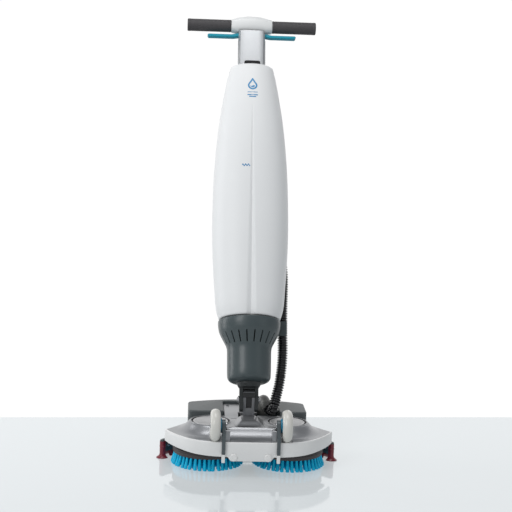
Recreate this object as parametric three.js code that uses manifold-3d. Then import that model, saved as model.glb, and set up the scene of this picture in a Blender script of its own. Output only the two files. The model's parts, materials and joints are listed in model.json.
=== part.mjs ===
// Walk-behind wet dry floor scrubber: a twin-brush deck with a squeegee, and an upright body on a
// two-axis joint that carries the clean-water tank, the battery, the recovery tank and the handle.
// Millimetres, +Z up. The machine's front faces -Y and its user stands on the +Y side.
import * as THREE from 'three';
import { mergeVertices } from 'three/addons/utils/BufferGeometryUtils.js';
import Module from 'manifold-3d';

const wasm = await Module();
wasm.setup();

// ---------------------------------------------------------------- driving dimensions
const GAP = 0.3;                 // clearance between pieces that touch
const ROUND = 26;                // sides of a large round piece

const BRUSH_X = 99.5;            // brush axes either side of the middle
const BRUSH_R = 88.5;            // bristle tips
const BRISTLE_TOP = 26.5;
const CHASSIS_Z = [50, 55.7];

const SKIRT_TOP = 82.5;
const SKIRT_WALL = 4;
const RIM_Z = 82;                // cover height along the skirt
const TOP_Z = 104;               // flat top of the cover
const COVE = 34;                 // reach of the hollow between the flat top and the rim
const COVER_WALL = 3;
const LID = { x: 93.4, y: -6, r: 43.8, hole: 47, ring: 52 };
const FLAT_FRONT_Y = -64;        // front edge of the flat top between the lids
const HOOD_FRONT_Y = 53;
const HOOD_TOP = 113;
const HOOD_X = 147;
const POCKET = { x0: 24.6, x1: 80, y1: 155 };   // well beside the tongue, for the suction elbow
const TONGUE_X = -58;

const WHEEL = { x: 84.8, y: -104, z: 118, r: 38.5, w: 24 };
const PLATE = { x0: 60.8, x1: 69.2, front: -131.5 };

const LEAN_Z = 98;               // lean axis, along Y
const PIVOT = new THREE.Vector3(0, 32, 148);    // tilt axis, along X
const TILT_BACK = THREE.MathUtils.degToRad(24); // the body's angle from upright at rest

const HOUSING_R = 54;
const RIM_R = 78.5;
const HOUSING_TOP = 196;
const TANK = { bottom: 199, top: 880, arm: 14, armTop: 862, channel: 37.3, channelFront: -22.3, wall: 3 };
const SPINE = { x: 35, y: 20, bottom: 197, top: 986.6, wall: 2.4 };
const BAR = { z: 1006, r: 12, end: 168 };
const COVER_X = 54.5;            // half width of the handle's middle cover
const GRIP = { r: 16.5, length: 116.3 };
const TRIGGER = { pivot: 29, z: 977, end: 118, h: 9, d: 15 };
const HOSE_R = 12.5;

// ---------------------------------------------------------------- materials
const finish = (color, roughness, metalness = 0) =>
  new THREE.MeshStandardMaterial({ color, roughness, metalness });
const tankWhite = finish(0xe6e7e8, 0.35);
const skirtWhite = finish(0xe4e4e2, 0.5);
const deckSilver = finish(0x9b9da0, 0.38, 0.6);
const lidGrey = finish(0xa8a9aa, 0.4, 0.4);
const housingGrey = finish(0x4a5558, 0.5);
const hoodGrey = finish(0x5f6668, 0.55);
const darkPlastic = finish(0x2c2a2b, 0.55);
const bristleBlue = finish(0x0a9cc9, 0.6);
const squeegeeRed = finish(0x7a2530, 0.45);
const tyreWhite = finish(0xd9d8d3, 0.3);
const teal = finish(0x1795ab, 0.4);
const gripGrey = finish(0x4a484b, 0.75);
const hoseBlack = finish(0x1c1b1d, 0.25);
const aluminium = finish(0xc4c6c8, 0.35, 0.9);
const steel = finish(0x9a9da0, 0.3, 1);
const pipeGrey = finish(0x8b8b88, 0.5);

// ---------------------------------------------------------------- solid helpers
function closedGeometry(points, triangles) {
  const geometry = new THREE.BufferGeometry();
  geometry.setAttribute('position', new THREE.Float32BufferAttribute(points.flat(), 3));
  geometry.setIndex(triangles);
  return facingOut(geometry);
}

function facingOut(geometry) {
  const p = geometry.attributes.position;
  const index = geometry.index.array;
  const [a, b, c] = [new THREE.Vector3(), new THREE.Vector3(), new THREE.Vector3()];
  let volume = 0;
  for (let i = 0; i < index.length; i += 3) {
    a.fromBufferAttribute(p, index[i]);
    b.fromBufferAttribute(p, index[i + 1]);
    c.fromBufferAttribute(p, index[i + 2]);
    volume += a.dot(b.cross(c));
  }
  if (volume < 0) {
    for (let i = 0; i < index.length; i += 3) [index[i + 1], index[i + 2]] = [index[i + 2], index[i + 1]];
  }
  return geometry;
}

function solid(geometry) {
  const bare = geometry.clone();
  bare.deleteAttribute('normal');
  bare.deleteAttribute('uv');
  const merged = facingOut(mergeVertices(bare, 1e-4));
  return new wasm.Manifold(new wasm.Mesh({
    numProp: 3,
    vertProperties: new Float32Array(merged.attributes.position.array),
    triVerts: new Uint32Array(merged.index.array),
  }));
}

function fromSolid(manifold) {
  const { vertProperties, triVerts, numProp } = manifold.getMesh();
  const points = [];
  for (let i = 0; i < vertProperties.length; i += numProp) points.push([...vertProperties.slice(i, i + 3)]);
  return closedGeometry(points, [...triVerts]);
}

const cut = (geometry, ...tools) =>
  fromSolid(tools.reduce((left, tool) => left.subtract(solid(tool)), solid(geometry)));
const join = (geometry, ...others) =>
  fromSolid(others.reduce((sum, other) => sum.add(solid(other)), solid(geometry)));
const common = (a, b) => fromSolid(solid(a).intersect(solid(b)));

function block(x0, x1, y0, y1, z0, z1) {
  return new THREE.BoxGeometry(x1 - x0, y1 - y0, z1 - z0).translate((x0 + x1) / 2, (y0 + y1) / 2, (z0 + z1) / 2);
}

// A block between two distances from the middle, on the given side.
function sideBlock(side, near, far, ...rest) {
  return block(...[side * near, side * far].sort((a, b) => a - b), ...rest);
}

// A straight round bar from one point to another along X, Y or Z.
function rod(radius, from, to, sides = 20) {
  const start = new THREE.Vector3(...from);
  const run = new THREE.Vector3(...to).sub(start);
  const geometry = new THREE.CylinderGeometry(radius, radius, run.length(), sides);
  const turn = new THREE.Quaternion().setFromUnitVectors(new THREE.Vector3(0, 1, 0), run.clone().normalize());
  return geometry.applyQuaternion(turn).translate(...start.addScaledVector(run, 0.5).toArray());
}

// A profile of [radius, z] points turned about the Z axis.
function turned(profile, sides = ROUND) {
  const points = profile.map(([r, z]) => new THREE.Vector2(r, z));
  return new THREE.LatheGeometry(points, sides).rotateX(Math.PI / 2);
}

// A closed ring: the profile joins on to its own start.
const turnedRing = (profile, sides = ROUND) => turned([...profile, profile[0]], sides);

function plate(outline, z0, z1, holes = []) {
  const shape = new THREE.Shape(outline.map(([x, y]) => new THREE.Vector2(x, y)));
  for (const [x, y, r] of holes) shape.holes.push(new THREE.Path().absarc(x, y, r, 0, 2 * Math.PI));
  return new THREE.ExtrudeGeometry(shape, { depth: z1 - z0, bevelEnabled: false, curveSegments: 10 })
    .translate(0, 0, z0);
}

// Triangles that fill a flat outline, each wound the way the outline is.
function capFaces(outline) {
  const flat = outline.map(([x, y]) => new THREE.Vector2(x, y));
  const clockwise = THREE.ShapeUtils.isClockWise(flat);
  return THREE.ShapeUtils.triangulateShape(flat, []).map((face) => {
    const turns = THREE.ShapeUtils.isClockWise(face.map((i) => flat[i]));
    return turns === clockwise ? face : [...face].reverse();
  });
}

// A solid through a stack of sections, each a list of [x, y] at one height.
function loft(sections) {
  const count = sections[0].outline.length;
  const points = sections.flatMap(({ outline, z }) => outline.map(([x, y]) => [x, y, z]));
  const triangles = [];
  for (let level = 0; level < sections.length - 1; level++) {
    for (let i = 0; i < count; i++) {
      const [a, b] = [level * count + i, level * count + (i + 1) % count];
      triangles.push(a, b, a + count, b, b + count, a + count);
    }
  }
  for (const level of [0, sections.length - 1]) {
    for (const face of capFaces(sections[level].outline)) {
      if (level === 0) face.reverse();
      triangles.push(...face.map((i) => level * count + i));
    }
  }
  return closedGeometry(points, triangles);
}

// A strip that follows a path in plan: section(station) gives [distance outward, z] corners.
function strip(path, section) {
  const points = [];
  const corners = section(path[0]).length;
  path.forEach((station, i) => {
    const before = path[Math.max(i - 1, 0)];
    const after = path[Math.min(i + 1, path.length - 1)];
    const along = new THREE.Vector2(after[0] - before[0], after[1] - before[1]).normalize();
    for (const [out, z] of section(station)) {
      points.push([station[0] + out * along.y, station[1] - out * along.x, z]);
    }
  });
  const triangles = [];
  for (let i = 0; i < path.length - 1; i++) {
    for (let k = 0; k < corners; k++) {
      const [a, b] = [i * corners + k, i * corners + (k + 1) % corners];
      triangles.push(a, b, a + corners, b, b + corners, a + corners);
    }
  }
  for (const face of capFaces(section(path[0]))) triangles.push(...face.reverse());
  for (const face of capFaces(section(path[path.length - 1]))) {
    triangles.push(...face.map((k) => (path.length - 1) * corners + k));
  }
  return closedGeometry(points, triangles);
}

// A round tube along a smooth curve, closed at both ends.
function tube(curve, radius, steps, sides = 12) {
  const section = new THREE.Shape().absarc(0, 0, radius, 0, 2 * Math.PI);
  const ring = new THREE.Shape(section.getPoints(sides).slice(0, sides));
  return new THREE.ExtrudeGeometry(ring, { steps, extrudePath: curve, bevelEnabled: false });
}

const smoothCurve = (points) => new THREE.CatmullRomCurve3(points.map((p) => new THREE.Vector3(...p)));

function piece(group, name, geometry, material) {
  const mesh = new THREE.Mesh(geometry, material);
  mesh.name = name;
  group.add(mesh);
  return mesh;
}

const SIDES = [['left', -1], ['right', 1]];

// ---------------------------------------------------------------- deck
// Outer face of the skirt in plan, from the left wing tip round the front to the right one.
const EDGE_HALF = [[203.5, -14], [192.5, -38], [172, -69], [141.5, -101], [105, -119], [60, -125]];
const edgeCurve = smoothCurve([
  ...EDGE_HALF.map(([x, y]) => [-x, y, 0]), [0, -126, 0], ...EDGE_HALF.map(([x, y]) => [x, y, 0]).reverse(),
]);

function edgePoints(inset, steps) {
  return Array.from({ length: steps + 1 }, (_, i) => {
    const point = edgeCurve.getPointAt(i / steps);
    const along = edgeCurve.getTangentAt(i / steps);
    return [point.x - along.y * inset, point.y + along.x * inset];
  });
}

// Height of the cover: flat round the lids and the middle, falling in a hollow to the rim.
function coverHeight(x, y) {
  const toLid = Math.hypot(Math.abs(x) - LID.x, y - LID.y) - LID.ring;
  const toBand = Math.max(Math.abs(x) - LID.x, FLAT_FRONT_Y - y);
  const outside = Math.max(0, Math.min(toLid, toBand));
  return RIM_Z + (TOP_Z - RIM_Z) * Math.max(0, 1 - outside / COVE) ** 2.2;
}

// The cover as a solid from its top face down to floorOf(height).
function coverSolid(floorOf) {
  const rows = 10;
  const front = edgePoints(SKIRT_WALL + GAP, 32);
  const columns = front.map(([x, y]) => {
    const rearX = x * (HOOD_X + 2) / (EDGE_HALF[0][0] - SKIRT_WALL);
    return Array.from({ length: rows + 1 }, (_, j) => {
      const t = j / rows;
      return [x + (rearX - x) * t, y + (HOOD_FRONT_Y - GAP - y) * t];
    });
  });
  const points = [];
  for (const lower of [false, true]) {
    for (const [x, y] of columns.flat()) {
      const z = coverHeight(x, y);
      points.push([x, y, lower ? floorOf(z) : z]);
    }
  }
  const wide = rows + 1;
  const half = columns.length * wide;
  const triangles = [];
  const quad = (a, b, c, d) => triangles.push(a, b, c, a, c, d);
  for (let i = 0; i < columns.length - 1; i++) {
    for (let j = 0; j < rows; j++) {
      const a = i * wide + j;
      quad(a, a + wide, a + wide + 1, a + 1);
      quad(half + a, half + a + 1, half + a + wide + 1, half + a + wide);
    }
    const [f, r] = [i * wide, i * wide + rows];
    quad(f, half + f, half + f + wide, f + wide);
    quad(r, r + wide, half + r + wide, half + r);
  }
  for (let j = 0; j < rows; j++) {
    const [a, b] = [j, (columns.length - 1) * wide + j];
    quad(a, a + 1, half + a + 1, half + a);
    quad(b, half + b, half + b + 1, b + 1);
  }
  return closedGeometry(points, triangles);
}

const BEARING = { x: 22, front: -34, rear: 15.7 };
const BRACKET = { x: 14, y0: 18, y1: 46 };
const wheelWell = (side, radius, x0, x1) =>
  rod(radius, [side * x0, WHEEL.y, WHEEL.z], [side * x1, WHEEL.y, WHEEL.z], 30);

function deckCover() {
  const shell = coverSolid((z) => z - COVER_WALL);
  const tongueTop = TOP_Z + 3;
  const [tongueX, tongueRear] = [POCKET.x0 - 2 * GAP, POCKET.y1 - GAP];
  const tongue = block(TONGUE_X, tongueX, HOOD_FRONT_Y - 6, tongueRear, TOP_Z - COVER_WALL, tongueTop);
  const wells = SIDES.map(([, side]) => common(coverSolid(() => 60), wheelWell(side, 43.5, 69.8, 100.4)));
  const mounts = SIDES.map(([, side]) => {
    const foot = common(coverSolid(() => 76), sideBlock(side, 49, 60.4, -118, -92, 60, 99));
    return join(foot, sideBlock(side, 50, 60.4, -117, -97, 79, 109));
  });
  return cut(
    join(shell, tongue, ...wells, ...mounts),
    ...SIDES.map(([, side]) => rod(LID.hole, [side * LID.x, LID.y, 60], [side * LID.x, LID.y, 120], 30)),
    ...SIDES.map(([, side]) => wheelWell(side, 41, 71.4, 98.6)),
    block(-BEARING.x - 2, BEARING.x + 2, BEARING.front - 1, 66, 60, 120),
  );
}

function skirtSection([x]) {
  const half = Math.abs(x);
  const lip = THREE.MathUtils.clamp((half - 46) / 10, 0, 1);
  const bottom = half < 56 ? 37 + 10 * lip : 47 + 7 * ((half - 56) / 145) ** 2;
  return [[0, bottom + 1], [0, SKIRT_TOP - 1.4], [-1.4, SKIRT_TOP], [-SKIRT_WALL, SKIRT_TOP], [-SKIRT_WALL, bottom],
    [-1, bottom]];
}

// Rear hood in plan: two arms beside the tongue and the pocket, joined by a bowed rear wall.
function hoodOutline(inset) {
  const [x, front] = [HOOD_X - inset, HOOD_FRONT_Y + inset];
  const rear = Array.from({ length: 13 }, (_, i) => {
    const u = 1 - i / 6;
    return [u * (x - 6), 181 - inset - 31 * u * u];
  });
  const inner = POCKET.y1 + GAP + inset;
  return [[x, front + 6], [x, 142], ...rear, [-x, 142], [-x, front + 6], [-x + 6, front],
    [TONGUE_X - GAP - inset, front], [TONGUE_X - GAP - inset, inner],
    [POCKET.x1 + inset, inner], [POCKET.x1 + inset, front], [x - 6, front]];
}

function rearHood() {
  const wall = 3;
  const levels = [[58, 0], [HOOD_TOP - 5, 0], [HOOD_TOP - 1.5, 1.2], [HOOD_TOP, 4]];
  const outer = loft(levels.map(([z, inset]) => ({ z, outline: hoodOutline(inset) })));
  const inner = loft([57, HOOD_TOP - wall - 1].map((z) => ({ z, outline: hoodOutline(wall) })));
  return cut(outer, inner);
}

function deckChassis() {
  const front = edgePoints(14, 30);
  const rear = [[140, 40], [140, 110], [112, 136], [60, 148], [-60, 148], [-112, 136], [-140, 110], [-140, 40]];
  return plate([...front, ...rear], ...CHASSIS_Z, SIDES.map(([, side]) => [side * BRUSH_X, 0, 13]));
}

const brushMotor = () => turned([
  [0, 56], [15, 56], [15, 58], [41, 58], [41, 66], [33, 69], [33, 92], [28, 97], [0, 97],
]);
const motorLid = () => turned([
  [0, 99.5], [LID.r - 2, 99.5], [LID.r, 100.5], [LID.r, TOP_Z - 1], [LID.r - 1, TOP_Z], [0, TOP_Z],
]);

function wheelPlate() {
  const hub = 14;
  const over = Array.from({ length: 9 }, (_, i) => {
    const angle = THREE.MathUtils.degToRad(150 - i * 20);
    return [WHEEL.y + hub * Math.cos(angle), WHEEL.z + hub * Math.sin(angle)];
  });
  const under = [[-86, 94], [-100, 88.5], [-121, 85.6], [-125.4, 84], [-125.4, 54]];
  const outline = [[PLATE.front, 54], [PLATE.front, 97], ...over, ...under];
  const upright = plate(outline, PLATE.x0, PLATE.x1, [[WHEEL.y, WHEEL.z, 5.3]]);
  // The outline is drawn as (y, z); these turns stand it up across X.
  return upright.rotateZ(Math.PI / 2).rotateY(Math.PI / 2);
}

function buildDeck(deck) {
  piece(deck, 'deck_chassis', deckChassis(), darkPlastic);
  piece(deck, 'deck_cover', deckCover(), deckSilver);
  piece(deck, 'splash_skirt', strip(edgePoints(0, 40), skirtSection), skirtWhite);
  piece(deck, 'rear_hood', rearHood(), hoodGrey);
  const bearing = loft([
    { z: 56, outline: [[-22, -34], [22, -34], [22, 15.7], [-22, 15.7]] },
    { z: 105, outline: [[-22, -34], [22, -34], [22, 15.7], [-22, 15.7]] },
    { z: 112, outline: [[-17, -27], [17, -27], [17, 15.7], [-17, 15.7]] },
  ]);
  const rearBearing = block(-18, 18, BRACKET.y1 + GAP, 60, 56, 112);
  const sole = block(-22, 22, BEARING.front, 60, 56, 74);
  const bore = rod(8.3, [0, -30, LEAN_Z], [0, 80, LEAN_Z]);
  piece(deck, 'lean_bearing', cut(join(bearing, rearBearing, sole), bore), deckSilver);
  piece(deck, 'lean_pin', rod(8, [0, -29, LEAN_Z], [0, 62, LEAN_Z]), steel);
  for (const [name, side] of SIDES) {
    piece(deck, `motor_lid_${name}`, motorLid(), lidGrey).position.set(side * LID.x, LID.y, 0);
    piece(deck, `brush_motor_${name}`, brushMotor(), darkPlastic).position.set(side * BRUSH_X, 0, 0);
    const button = turned([[0, 0], [9, 0], [9, 1.8], [7.5, 3.2], [0, 4]], 16).rotateX(Math.PI / 2);
    piece(deck, `skirt_button_${name}`, button, skirtWhite).position.set(side * 40.6, -126.1, 46);
    const upright = wheelPlate();
    if (side < 0) upright.translate(-PLATE.x0 - PLATE.x1, 0, 0);
    piece(deck, `wheel_plate_${name}`, upright, housingGrey);
    piece(deck, `slide_foot_${name}`, sideBlock(side, 61, 69, PLATE.front, -125.4, 34, 53.7), skirtWhite);
    const [head, washer] = [rod(8, [57.2, 0, 0], [60.5, 0, 0]), rod(7, [95.2, 0, 0], [97.5, 0, 0])];
    const axle = join(rod(5, [57.4, 0, 0], [96, 0, 0]), head, washer);
    const axleMesh = piece(deck, `wheel_axle_${name}`, axle, steel);
    axleMesh.position.set(0, WHEEL.y, WHEEL.z);
    if (side < 0) axleMesh.rotation.z = Math.PI;
  }
  buildSqueegee(deck);
  buildSuction(deck);
}

// Squeegee: a thin bowed carrier with one red blade round its rear and ends, and a lip below its front.
const squeegeeY = (x) => 155 - 124 * (x / 206) ** 2;
const SQUEEGEE_END = 209;

function squeegeePath(offset, reach, steps) {
  return Array.from({ length: steps + 1 }, (_, i) => {
    const x = reach * (2 * i / steps - 1);
    const along = new THREE.Vector2(1, -248 * x / 206 ** 2).normalize();
    return [x - along.y * offset, squeegeeY(x) + along.x * offset];
  });
}

function bladePath() {
  const wrap = 4.8;
  const back = squeegeePath(wrap, SQUEEGEE_END, 24);
  const slope = Math.atan2(-248 * SQUEEGEE_END / 206 ** 2, 1);
  const end = Array.from({ length: 7 }, (_, i) => {
    const angle = slope + Math.PI / 2 - (i + 1) * Math.PI / 7;
    return [SQUEEGEE_END + wrap * Math.cos(angle), squeegeeY(SQUEEGEE_END) + wrap * Math.sin(angle)];
  });
  const last = end[end.length - 1];
  const tail = [last[0] - 5 * Math.cos(slope), last[1] - 5 * Math.sin(slope)];
  const right = [...end, tail];
  const left = right.map(([x, y]) => [-x, y]).reverse();
  return [...left, ...back, ...right];
}

function buildSqueegee(deck) {
  const carrier = strip(squeegeePath(0, SQUEEGEE_END - 1, 24), () => [[3, 14], [3, 46], [-3, 46], [-3, 14]]);
  const post = { x: 75, y: squeegeeY(75) - 8 };
  const posts = SIDES.map(([, side]) => rod(7, [side * post.x, post.y, 40], [side * post.x, post.y, 49.7]));
  const ears = SIDES.map(([, side]) => sideBlock(side, post.x - 8, post.x + 8, post.y - 8, post.y + 6, 38, 44));
  piece(deck, 'squeegee_carrier', join(carrier, ...ears, ...posts), housingGrey);
  const bladeSection = [[1.5, 41], [-1.5, 41], [-1.5, 10], [-4, 5], [-9.5, 0], [-5, 0], [1.5, 5]];
  piece(deck, 'squeegee_blade', strip(bladePath(), () => bladeSection), squeegeeRed);
  const lipSection = [[1.5, 13.7], [-1.5, 13.7], [-1.5, 6], [2, 0], [5.5, 0], [1.5, 6]];
  const lip = strip(squeegeePath(-1, SQUEEGEE_END - 16, 22), () => lipSection);
  piece(deck, 'squeegee_lip', lip, squeegeeRed);
}

// Suction: a duct from the squeegee, a grey elbow, and a black boot that turns up into the hose.
const BOOT = {
  start: [51, 92, 117], leave: [0.55, -0.45, -0.7], end: [66, 64, 128], arrive: [0.15, 0.3, 0.94], reach: 20,
};
const ELBOW = [[41, 127, 88.4], [41, 127, 100], [41, 125.5, 114], [41.6, 119, 126], [44, 109, 128]];

function buildSuction(deck) {
  const duct = join(block(28, 76, 60, 146, 56, 84), rod(18, [41, 127, 80], [41, 127, 88], 24));
  piece(deck, 'suction_duct', duct, housingGrey);
  const [start, end] = [new THREE.Vector3(...BOOT.start), new THREE.Vector3(...BOOT.end)];
  const leave = new THREE.Vector3(...BOOT.leave).normalize();
  const arrive = new THREE.Vector3(...BOOT.arrive).normalize();
  const mouth = [4, GAP].map((back) => start.clone().addScaledVector(leave, -back).toArray());
  piece(deck, 'suction_elbow', tube(smoothCurve([...ELBOW, ...mouth]), 14.3, 14, 14), pipeGrey);
  const bend = new THREE.CubicBezierCurve3(start, start.clone().addScaledVector(leave, BOOT.reach),
    end.clone().addScaledVector(arrive, -BOOT.reach), end);
  piece(deck, 'hose_boot', tube(bend, 13.6, 12, 12), hoseBlack);
}

// ---------------------------------------------------------------- brushes and wheels
function buildBrush(group, name) {
  const back = turned([[0, 26.8], [82, 26.8], [84, 29], [84, 40], [80, 43], [26, 43], [22, 46.5], [0, 46.5]], 32);
  piece(group, `brush_block_${name}`, back, darkPlastic);
  const bristles = [[34, BRISTLE_TOP], [31, 0], [BRUSH_R, 0], [BRUSH_R + 0.6, 3], [79, BRISTLE_TOP]];
  piece(group, `brush_bristles_${name}`, turnedRing(bristles, 32), bristleBlue);
  piece(group, `brush_shaft_${name}`, rod(8, [0, 0, 46.8], [0, 0, 55.6], 6), steel);
}

function buildWheel(group, name, side) {
  const half = WHEEL.w / 2;
  const crown = Array.from({ length: 7 }, (_, i) => {
    const angle = Math.PI * (i / 6 - 0.5);
    return [WHEEL.r - 11 + 11 * Math.cos(angle), half * Math.sin(angle)];
  });
  const tyre = turnedRing([[24.3, -8], ...crown, [24.3, 8]], 28).rotateY(Math.PI / 2);
  piece(group, `wheel_tyre_${name}`, tyre, tyreWhite);
  // The hub's wide boss faces the wheel plate.
  const boss = [[5.3, -15.2], [16, -15.2], [17.5, -13.7], [17.5, -9]];
  const hub = turnedRing([...boss, [24, -8], [24, 8], [12, 8], [9, 10], [5.3, 10]], 24);
  piece(group, `wheel_hub_${name}`, hub.rotateY(side * Math.PI / 2), teal);
}

// ---------------------------------------------------------------- joint between deck and body
function buildJoint(group) {
  const column = loft([
    { z: 84, outline: [[-10, 18], [10, 18], [10, 46], [-10, 46]] },
    { z: 92, outline: [[-14, 18], [14, 18], [14, 46], [-14, 46]] },
    { z: 160, outline: [[-14, 18], [14, 18], [14, 46], [-14, 46]] },
    { z: 169, outline: [[-14, 23], [14, 23], [14, 41], [-14, 41]] },
  ]);
  const window = block(-7, 7, 0, 27, 130, 166);
  const leanBore = rod(8.3, [0, 0, LEAN_Z], [0, 80, LEAN_Z]);
  const tiltBore = rod(6.3, [-40, PIVOT.y, PIVOT.z], [40, PIVOT.y, PIVOT.z]);
  piece(group, 'joint_bracket', cut(column, window, leanBore, tiltBore), hoodGrey);
}

// ---------------------------------------------------------------- upright body, in its own tilted frame
function buildFork(body) {
  const prong = [[-14, 30], [-14, -18], [-10, -27], [0, -31], [10, -27], [14, -18], [14, 30]];
  const prongs = SIDES.map(([, side]) => {
    const [inner, outer] = [14.6, 23];
    const cheek = plate(prong, inner, outer, [[0, 0, 6.3]]).rotateZ(Math.PI / 2).rotateY(Math.PI / 2);
    return side > 0 ? cheek : cheek.translate(-inner - outer, 0, 0);
  });
  const crown = turned([[0, 29], [25, 29], [29, 36], [30, 41], [0, 41]], 28);
  piece(body, 'fork', join(crown, ...prongs), housingGrey);
  const heads = SIDES.map(([, side]) => rod(9, [side * 23.3, 0, 0], [side * 26.5, 0, 0]));
  piece(body, 'tilt_pin', join(rod(6, [-26, 0, 0], [26, 0, 0]), ...heads), steel);
}

function buildMotorHousing(body) {
  const cup = [[0, 41.3], [42, 42], [48.5, 44.5], [52.5, 49], [HOUSING_R, 55], [HOUSING_R + 1, 124]];
  const outer = [...cup, [58, 134], [64, 145], [71, 158], [75.5, 168], [RIM_R - 1, 180], [RIM_R, 190],
    [RIM_R - 1.5, HOUSING_TOP]];
  const inner = [[RIM_R - 5, HOUSING_TOP], [RIM_R - 4.5, 186], [71, 167], [60, 146], [54, 134], [51, 122],
    [HOUSING_R - 4, 56], [48, 50.5], [42, 46], [0, 45.5]];
  const shell = turned([...outer, ...inner], 33);
  const slots = 22;
  const vents = Array.from({ length: slots }, (_, i) => {
    const vent = block(-1.4, 1.4, 52, 82, 133, 160);
    return vent.rotateZ(2 * Math.PI * (i + 0.5) / slots);
  });
  piece(body, 'motor_housing', cut(shell, ...vents), housingGrey);
  const motor = turned([[0, 52], [38, 52], [40, 54], [40, 96], [30, 100], [30, 104], [0, 104]], 28);
  piece(body, 'vacuum_motor', motor, darkPlastic);
  const seat = turned([[0, 184], [RIM_R - 7, 184], [RIM_R - 6, 190], [RIM_R - 6, 196.6], [0, 196.6]], 33);
  piece(body, 'tank_seat', seat, darkPlastic);
  const guard = loft([
    { z: 168, outline: [[70, 26], [92, 23], [94, 25], [75, 31]] },
    { z: 173, outline: [[70, 22], [93, 21], [96.5, 24], [74, 29]] },
    { z: 205, outline: [[72, 22], [93, 21], [96.5, 24], [75, 29]] },
  ]);
  const rim = turned([[0, 150], [RIM_R + GAP, 150], [RIM_R + GAP, 200], [0, 200]], 33);
  piece(body, 'hose_guard', cut(guard, rim), housingGrey);
}

function buildFan(group) {
  const blades = Array.from({ length: 6 }, (_, i) =>
    block(10, 36, -1.2, 1.2, 110, 122).rotateZ(i * Math.PI / 3));
  const disc = turned([[0, 106], [37, 106], [37, 111], [12, 112], [10, 124], [0, 124]], 28);
  piece(group, 'vacuum_fan', join(disc, ...blades), aluminium);
}

// Half width and front depth of the clean tank by height, and its outline with a channel for the spine.
const TANK_HALF = smoothCurve([
  [200, 77, 73], [225, 84, 77], [290, 90, 80], [400, 96.3, 82.5], [511, 96.6, 82.5], [606, 93.4, 80],
  [711, 84.7, 73.5], [791, 73.8, 65], [840, 65.5, 58], [866, 61, 53], [876, 57.5, 49], [880, 52, 44],
]);

function tankSize(w) {
  let [low, high] = [0, 1];
  for (let i = 0; i < 30; i++) {
    const middle = (low + high) / 2;
    if (TANK_HALF.getPoint(middle).x < w) low = middle;
    else high = middle;
  }
  const { y, z } = TANK_HALF.getPoint(low);
  return { half: y, depth: z };
}

function tankOutline(w, inset) {
  const { half, depth } = tankSize(w);
  const power = 2 / 2.3;
  const front = Array.from({ length: 21 }, (_, i) => {
    const angle = Math.PI * i / 20;
    const [c, s] = [Math.cos(angle), Math.sin(angle)];
    return [(half - inset) * Math.sign(c) * Math.abs(c) ** power, -(depth - inset) * s ** power];
  });
  front[10][1] += 4.5 * THREE.MathUtils.clamp((770 - w) / 500, 0, 1);
  const [back, side, slot] = [TANK.arm - inset, TANK.channel + inset, TANK.channelFront - inset];
  const corner = Math.max(half - inset - 4, side + 1);
  return [...front, [-corner, back], [-side, back], [-side, slot], [side, slot], [side, back], [corner, back]];
}

function cleanTank() {
  const heights = [199, 203, 230, 270, 340, 430, 520, 610, 690, 760, 815, 850, 870, 877, 880];
  const shell = loft(heights.map((z) => ({ z, outline: tankOutline(Math.max(z, 200), z < 202 ? 3 : 0) })));
  const innerHeights = [203, 235, 330, 511, 640, 740, 810, 860, 874];
  const inside = innerHeights.map((z) => ({ z, outline: tankOutline(z, TANK.wall) }));
  const armCut = block(-80, 80, TANK.channelFront + 0.1, 40, TANK.armTop, 900);
  const armRoof = block(-80, 80, TANK.channelFront - 3, 40, TANK.armTop - 4, 900);
  const cavity = cut(loft(inside), armRoof);
  const filler = rod(8.5, [-49, -4, TANK.armTop - 8], [-49, -4, TANK.armTop + 2], 20);
  return cut(shell, armCut, cavity, filler);
}

function buildCleanTank(group) {
  piece(group, 'clean_tank', cleanTank(), tankWhite);
  const cap = join(rod(10.5, [-49, -4, 862.3], [-49, -4, 871], 20), rod(8.1, [-49, -4, 856], [-49, -4, 863], 20));
  piece(group, 'filler_cap', cap, teal);
}

function recoveryOutline(half, depth, inset) {
  const power = 2 / 2.6;
  const front = SPINE.y + 0.8 + inset;
  const rear = Array.from({ length: 15 }, (_, i) => {
    const angle = Math.PI * i / 14;
    const [c, s] = [Math.cos(angle), Math.sin(angle)];
    return [(half - inset) * Math.sign(c) * Math.abs(c) ** power, 34 + (depth - 34 - inset) * s ** power];
  });
  return [...rear, [-half + inset + 2, front], [half - inset - 2, front]];
}

// Half width and rear depth of the recovery tank by height.
const RECOVERY = [
  [428, 74, 86], [436, 84, 94], [500, 87, 98], [600, 86, 98],
  [700, 79, 92], [780, 69, 83], [830, 62, 76], [862, 57, 70],
];
const rearLoft = (sections, inset = 0) =>
  loft(sections.map(([z, half, depth]) => ({ z, outline: recoveryOutline(half, depth, inset) })));

function buildRear(body) {
  const [mouthZ, mouthHalf, mouthDepth] = RECOVERY[RECOVERY.length - 1];
  const inside = rearLoft([...RECOVERY.slice(1, -1), [mouthZ + 1, mouthHalf, mouthDepth]], 3);
  const inlet = rod(17, [78, 43, 412], [78, 43, 430], 20);
  const trimmed = common(inlet, block(50, 99, 20, 80, 400, 440));
  piece(body, 'recovery_tank', cut(join(rearLoft(RECOVERY), trimmed), inside), hoodGrey);
  piece(body, 'recovery_lid', rearLoft([[862.3, 58, 71], [869, 58, 71], [874, 53, 65]]), darkPlastic);
}

function buildBattery(group) {
  const pack = rearLoft([[198, 63, 85], [202, 66, 88], [392, 66, 88], [396, 63, 85]]);
  const grip = block(-30, 30, 70, 95, 340, 366);
  piece(group, 'battery_pack', cut(pack, grip), darkPlastic);
}

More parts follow.
